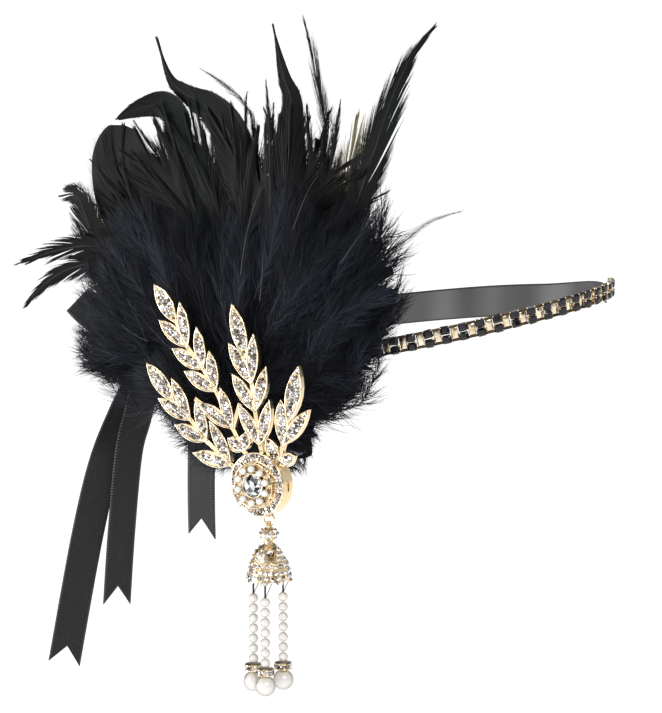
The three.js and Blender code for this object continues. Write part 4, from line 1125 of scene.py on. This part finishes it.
def leaf_pieces():
    random = np.random.default_rng(PAVE["seed"])
    rims, stones, grains = [], [], []
    for root, tip, width in leaves():
        start, along, side, length = leaf_frame(root, tip)
        runs, halves = leaf_sides(length, width)
        inner = np.maximum(halves - RIM["inset"], 0)
        outline = np.concatenate([np.stack([runs, inner], -1), np.stack([runs, -inner], -1)[-2:0:-1]])
        flat = start + outline[:, :1] * along + outline[:, 1:] * side
        rims.append(tube(
            on_brooch(np.column_stack([flat, np.full(len(flat), LEAF["front"])])),
            RIM["wire"], RIM["sides"], BROOCH_AXES[2], closed=True,
        ))
        pitch = PAVE["pitch"]
        for line in PAVE["lines"]:
            across = line * pitch * PAVE["row"]
            first = pitch * (PAVE["start"] + PAVE["stagger"] * (line % 2))
            at = np.arange(first, length - PAVE["tip"], pitch)
            room = np.interp(at, runs, halves) - abs(across)
            for run in at[room > PAVE["edge"]]:
                stones.append((*(start + run * along + across * side), LEAF["front"] + PAVE["out"]))
            for run in at[room > PAVE["edge"] + GRAIN["edge"]]:
                spot = start + (run + pitch / 2) * along + (across + GRAIN["aside"] * pitch) * side
                grains.append((*spot, LEAF["front"] + GRAIN["out"]))
    add_piece("leaf_rims", joined(rims), "headband", [gilt])
    gem = brilliant(PAVE["radius"])
    pave = set_stones(gem, brooch_axes(len(stones)), on_brooch(stones), random)
    add_piece("leaf_stones", pave, "headband", [stone], smooth=False)
    grain = bead(GRAIN["radius"], GRAIN["sides"], GRAIN["rings"])
    beads = grain.copied(brooch_axes(len(grains)), on_brooch(grains))
    add_piece("leaf_beads", beads, "headband", [gilt])


def ring_places(radius, count, level, first=0.0):
    turn = turns(count, first)
    return np.stack([radius * np.cos(turn), radius * np.sin(turn), np.full(count, level)], -1)


def medallion_pieces():
    random = np.random.default_rng(MEDAL["seed"])
    stones = np.concatenate([ring_places(radius, count, HALO["level"]) for radius, count in HALO["rows"]])
    halo = set_stones(brilliant(HALO["stone"]), brooch_axes(len(stones)), on_brooch(stones), random)
    add_piece("halo_stones", halo, "headband", [stone], smooth=False)
    rims = []
    for radius, level, wire in MEDAL_WIRES:
        path = on_brooch(ring_places(radius, MEDAL["wire_steps"], level))
        rims.append(tube(path, wire, MEDAL["wire_sides"], BROOCH_AXES[2], closed=True))
    grains = np.concatenate([ring_places(*row) for row in MEDAL_GRAINS])
    grain = bead(MEDAL["grain"], MEDAL["grain_sides"], MEDAL["grain_rings"])
    rims.append(grain.copied(brooch_axes(len(grains)), on_brooch(grains)))
    add_piece("medal_rims", joined(rims), "headband", [gilt])
    look = RING_PEARLS
    pearls = on_brooch(ring_places(look["circle"], look["count"], look["level"], look["first"]))
    ball = pearl(look["radius"], look["sides"], look["rings"])
    lying = tilted(brooch_axes(len(pearls))[:, [1, 2, 0]], random, look["lean"], look["spin"])
    add_piece("medal_pearls", ball.copied(lying, pearls), "headband", [pearl_coat], ["pearl_ring"])


def wall_piece():
    """The medallion's smooth side wall, open at an oval slot on each side, and a wire round each slot."""
    turn = turns(WALL["around"])
    level = np.linspace(WALL["back"], WALL["front"], WALL["rows"])
    radius = WALL["radius"]
    grid = np.stack(np.broadcast_arrays(
        radius * np.cos(turn)[:, None], radius * np.sin(turn)[:, None], level[None],
    ), -1)
    index = np.arange(grid.shape[0] * grid.shape[1]).reshape(grid.shape[:2])
    after = np.roll(index, -1, axis=0)
    quads = np.stack([index[:, :-1], after[:, :-1], after[:, 1:], index[:, 1:]], -1)
    arc = (grid[:, :-1, 1] / WALL["slot_half"]) ** 2
    rise = ((grid[:, :-1, 2] - WALL["slot_level"]) / WALL["slot_rise"]) ** 2
    wall = Shape(on_brooch(grid.reshape(-1, 3)), quads[arc + rise > 1])
    shapes = [wall]
    for side in (-1, 1):
        way = circle(WALL["wire_steps"])
        across = way[:, 0] * WALL["slot_half"]
        out = side * np.sqrt(radius**2 - across**2)
        path = np.stack([out, across, WALL["slot_level"] + way[:, 1] * WALL["slot_rise"]], -1)
        wire = tube(on_brooch(path), WALL["wire"], WALL["wire_sides"], (0.0, 1, 0), closed=True)
        shapes.append(wire)
    # The wall takes the deeper gold, which is partly painted shade
    add_piece("medal_wall", joined(shapes), "headband", [deep_gilt_and_shade])


def crystal_piece():
    """A round cut stone: table, star facets, girdle and a foil-backed point; each facet has its own tone, a
    painted reflection from dark to bright.
    """
    sides = CRYSTAL["sides"]
    even = circle(sides)
    odd = circle(2 * sides)[1::2]
    rings = [
        (even, "table", "top"), (odd, "star", "star_at"),
        (circle(2 * sides), "girdle", "girdle_at"), (odd, "pavilion", "pavilion_at"),
    ]
    levels = [
        np.column_stack([way * CRYSTAL[size], np.full(len(way), CRYSTAL[height])])
        for way, size, height in rings
    ]
    points = np.vstack(levels + [[[0, 0, CRYSTAL["culet"]], [0, 0, CRYSTAL["top"]]]])
    star, girdle, pavilion, culet = np.cumsum([len(level) for level in levels])
    middle = culet + 1
    crown, point = [], []
    for i in range(sides):
        after = (i + 1) % sides
        left, mid, right = (girdle + (2 * i + k) % (2 * sides) for k in (0, 1, 2))
        crown += [
            (middle, i, after), (i, star + i, after), (i, star + (i - 1) % sides, left),
            (i, left, star + i), (star + i, left, mid), (star + i, mid, right),
        ]
        point += [
            (left, pavilion + i, mid), (mid, pavilion + i, right),
            (pavilion + i, right, pavilion + after), (culet, pavilion + after, pavilion + i),
        ]
    facets = np.array(crown + point)
    # Painted reflections: each facet gets its own tone, from dark to bright
    tone = np.random.default_rng(CRYSTAL["seed"]).uniform(0, 1, len(facets))
    own_points = on_brooch(points)[facets].reshape(-1, 3)
    shape = Shape(own_points, (), np.arange(facets.size), {"tone": np.repeat(tone, 3)})
    add_piece("cut_crystal", shape, "headband", [crystal_facet_reflections], ["centre_crystal"], smooth=False)


leaf_pieces()
medallion_pieces()
wall_piece()
crystal_piece()


# Drop
def on_drop(places):
    """Places given sideways, outward from the drop's axis, and as a drop below the medallion."""
    places = np.asarray(places, float)
    return on_brooch(np.stack([places[..., 0], -places[..., 2], places[..., 1] + DROP_OUT], -1))


def cap_frames(turn, drop):
    """Places and frames on the cap's outer wall, with the third axis out of the wall."""
    drops, radii = (np.array(values, float) for values in zip(*CAP_SIDE))
    radius = np.interp(drop, drops, radii)
    step = CAP_STONES["slope_step"]
    slope = (np.interp(drop + step, drops, radii) - np.interp(drop - step, drops, radii)) / (2 * step)
    round_out = np.stack([np.cos(turn), np.sin(turn), 0 * turn], -1)
    places = round_out * radius[:, None] + np.stack([0 * turn, 0 * turn, drop], -1)
    to_world = on_drop(np.eye(3)) - on_drop(np.zeros((1, 3)))
    out = unit((round_out - UPWARD * slope[:, None]) @ to_world)
    round_way = unit(np.cross(out, UPWARD))
    return on_drop(places), np.stack([round_way, np.cross(out, round_way), out], axis=1)


def cap_pieces():
    random = np.random.default_rng(CAP_STONES["seed"])
    rows = []
    for drop, count, first, radius in CAP_ROWS:
        rows.append((turns(count) + math.radians(first), np.full(count, drop), radius))
    arm_turns, arm_drops = np.array(CAP_ARM_STONES, float).T
    for arm in turns(CAP_ARMS["count"]):
        rows.append((np.radians(arm_turns) + arm, arm_drops, CAP_ARMS["radius"]))
    teeth = turns(CAP_TEETH["count"]) + math.radians(CAP_TEETH["first"])
    rows.append((teeth, np.full(len(teeth), CAP_TEETH["drop"]), CAP_TEETH["radius"]))
    gems = []
    for turn, drop, radius in rows:
        places, axes = cap_frames(turn, drop)
        places = places + CAP_STONES["out"] * axes[:, 2]
        gems.append(set_stones(brilliant(radius), axes, places, random, CAP_STONES["dimmest"]))
    add_piece("cap_stones", joined(gems), "drop", [stone], smooth=False)
    turn = turns(CAP_RIMS["steps"])
    rims = []
    for drop in CAP_RIMS["drops"]:
        places, _ = cap_frames(turn, np.full(len(turn), drop))
        rims.append(tube(places, CAP_RIMS["wire"], CAP_RIMS["sides"], UPWARD, closed=True))
    add_piece("cap_rims", joined(rims), "drop", [gilt])


def numbered(name):
    return [f"{name}_{k + 1}" for k in range(len(STRANDS["angles"]))]


def rondelle_stones(centre, first, random):
    """Stones round a rondelle's drum, facing outward."""
    spots = ring_places(1.0, RONDELLE["stones"], 0, first)
    outward = unit(spots[:, :1] * BROOCH_AXES[0] + spots[:, 1:2] * BROOCH_AXES[2])
    round_way = np.cross(outward, UPWARD)
    axes = np.stack([round_way, np.cross(outward, round_way), outward], axis=1)
    places = centre + outward * (RONDELLE["radius"] - RONDELLE["stone_inset"])
    return set_stones(brilliant(RONDELLE["stone"]), axes, places, random)


def strand_pieces():
    random = np.random.default_rng(STRANDS["seed"])
    top, height, edge = RONDELLE["top"], RONDELLE["height"], RONDELLE["radius"]
    small, big, threads, plates, drums, gems = [], [], [], [], [], []
    for strand, angle in enumerate(STRANDS["angles"]):
        turn = math.radians(angle)
        side, out = STRANDS["circle"] * math.cos(turn), STRANDS["circle"] * math.sin(turn)
        for k in range(STRANDS["count"]):
            small.append(on_drop((side, out, STRANDS["first"] + k * STRANDS["pitch"])))
        big.append(on_drop((side, out, BIG_PEARL["drop"])))
        drops = np.linspace(STRANDS["top"], STRANDS["first"], THREAD["steps"])
        path = on_drop([(side, out, drop) for drop in drops])
        threads.append(tube(path, THREAD["radius"], THREAD["sides"], (1.0, 0, 0)))
        path = on_drop([(side + beside, out, STRANDS["top"] + below) for beside, below in SLANT["places"]])
        threads.append(tube(path, SLANT["radius"], SLANT["sides"], (1.0, 0, 0)))
        for drop in (top + RONDELLE["plate"], top + height - RONDELLE["plate"]):
            plates.append(on_drop((side, out, drop)))
        centre = on_drop((side, out, top + height / 2))
        drums.append(centre)
        gems.append(rondelle_stones(centre, RONDELLE["turn"] * strand, random))

    def hung(look, places, name, nodes):
        ball = pearl(look["radius"], look["sides"], look["rings"])
        standing = tilted(np.broadcast_to(np.eye(3), (len(places), 3, 3)), random, STRANDS["lean"])
        add_piece(name, ball.copied(standing, places), "drop", [pearl_coat], nodes)

    hung(SMALL_PEARL, small, "pearls_small", numbered("strand"))
    hung(BIG_PEARL, big, "pearls_large", numbered("drop_pearl"))
    add_piece("threads", joined(threads), "drop", [thread])
    plate = lofted(circle(RONDELLE["plate_sides"]), [(edge + past, level) for past, level in PLATE_EDGE])
    inner, half = edge - RONDELLE["inset"], RONDELLE["drum_half"]
    drum = lofted(circle(RONDELLE["drum_sides"]), [(inner, -half), (inner, half)])
    upright = np.broadcast_to(np.eye(3), (len(plates), 3, 3))
    gold = [plate.copied(upright, plates), drum.copied(upright[: len(drums)], drums)]
    add_piece("rondelle_gold", joined(gold), "drop", [gilt], numbered("rondelle"))
    add_piece("rondelle_stones", joined(gems), "drop", [stone], smooth=False)


def ring_piece():
    """A wire ring with a narrow split."""
    gap = math.radians(RING["split"])
    turn = np.linspace(gap / 2, TAU - gap / 2, RING["steps"]) + math.radians(RING["split_at"])
    path = np.stack([
        RING["radius"] * np.cos(turn), 0 * turn, RING["drop"] - RING["radius"] * np.sin(turn),
    ], -1)
    wire = tube(on_drop(path), RING["wire"], RING["sides"], (1.0, 0, 0))
    add_piece("ring_wire", wire, "ring", [gilt], ["jump_ring"])


cap_pieces()
strand_pieces()
ring_piece()


# Floor, lights, sky and camera
def add_floor():
    half = FLOOR["half"]
    corners = [(-half, -half), (half, -half), (half, half), (-half, half)]
    mesh = bpy.data.meshes.new("floor")
    mesh.from_pydata([(x * MM, y * MM, FLOOR["height"] * MM) for x, y in corners], [], [(0, 1, 2, 3)])
    grey = FLOOR["grey"]
    mesh.materials.append(new_material(
        "floor", Base_Color=(grey, grey, grey, 1), Roughness=FLOOR["rough"],
        Emission_Color=(1, 1, 1, 1), Emission_Strength=FLOOR["glow"],
    ))
    floor = add_object("floor", mesh)


def add_light(name, place, size, power):
    light = bpy.data.lights.new(name, "AREA")
    light.shape = "DISK"
    light.size = size * MM
    light.energy = power
    lamp = add_object(name, light)
    lamp.location = Vector(place) * MM
    toward = Vector(CAMERA["aim"]) - Vector(place)
    lamp.rotation_euler = toward.to_track_quat("-Z", "Y").to_euler()


def add_sky():
    """Studio surroundings with soft bright and dark fields, which metal and stones mirror."""
    world = bpy.data.worlds.new("studio")
    world.use_nodes = True
    bpy.context.scene.world = world
    place = add_node(world, "ShaderNodeTexCoord").outputs["Generated"]
    colour = add_ramp(world, noise_at(world, place, SKY["scale"], SKY["detail"]), SKY["stops"])
    world.node_tree.links.new(colour, world.node_tree.nodes["Background"].inputs["Color"])


def add_camera():
    turn, dip = math.radians(CAMERA["turn"]), math.radians(CAMERA["dip"])
    ahead = Vector((math.cos(dip) * math.cos(turn), math.cos(dip) * math.sin(turn), -math.sin(dip)))
    lens = bpy.data.cameras.new("camera")
    lens.lens = CAMERA["lens"]
    lens.sensor_width = SENSOR
    camera = add_object("camera", lens)
    camera.location = (Vector(CAMERA["aim"]) - ahead * CAMERA["distance"]) * MM
    camera.rotation_euler = ahead.to_track_quat("-Z", "Y").to_euler()
    bpy.context.scene.camera = camera


add_floor()
for row in LIGHTS:
    add_light(*row)
add_sky()
add_camera()
bpy.context.scene.view_settings.view_transform = "Standard"
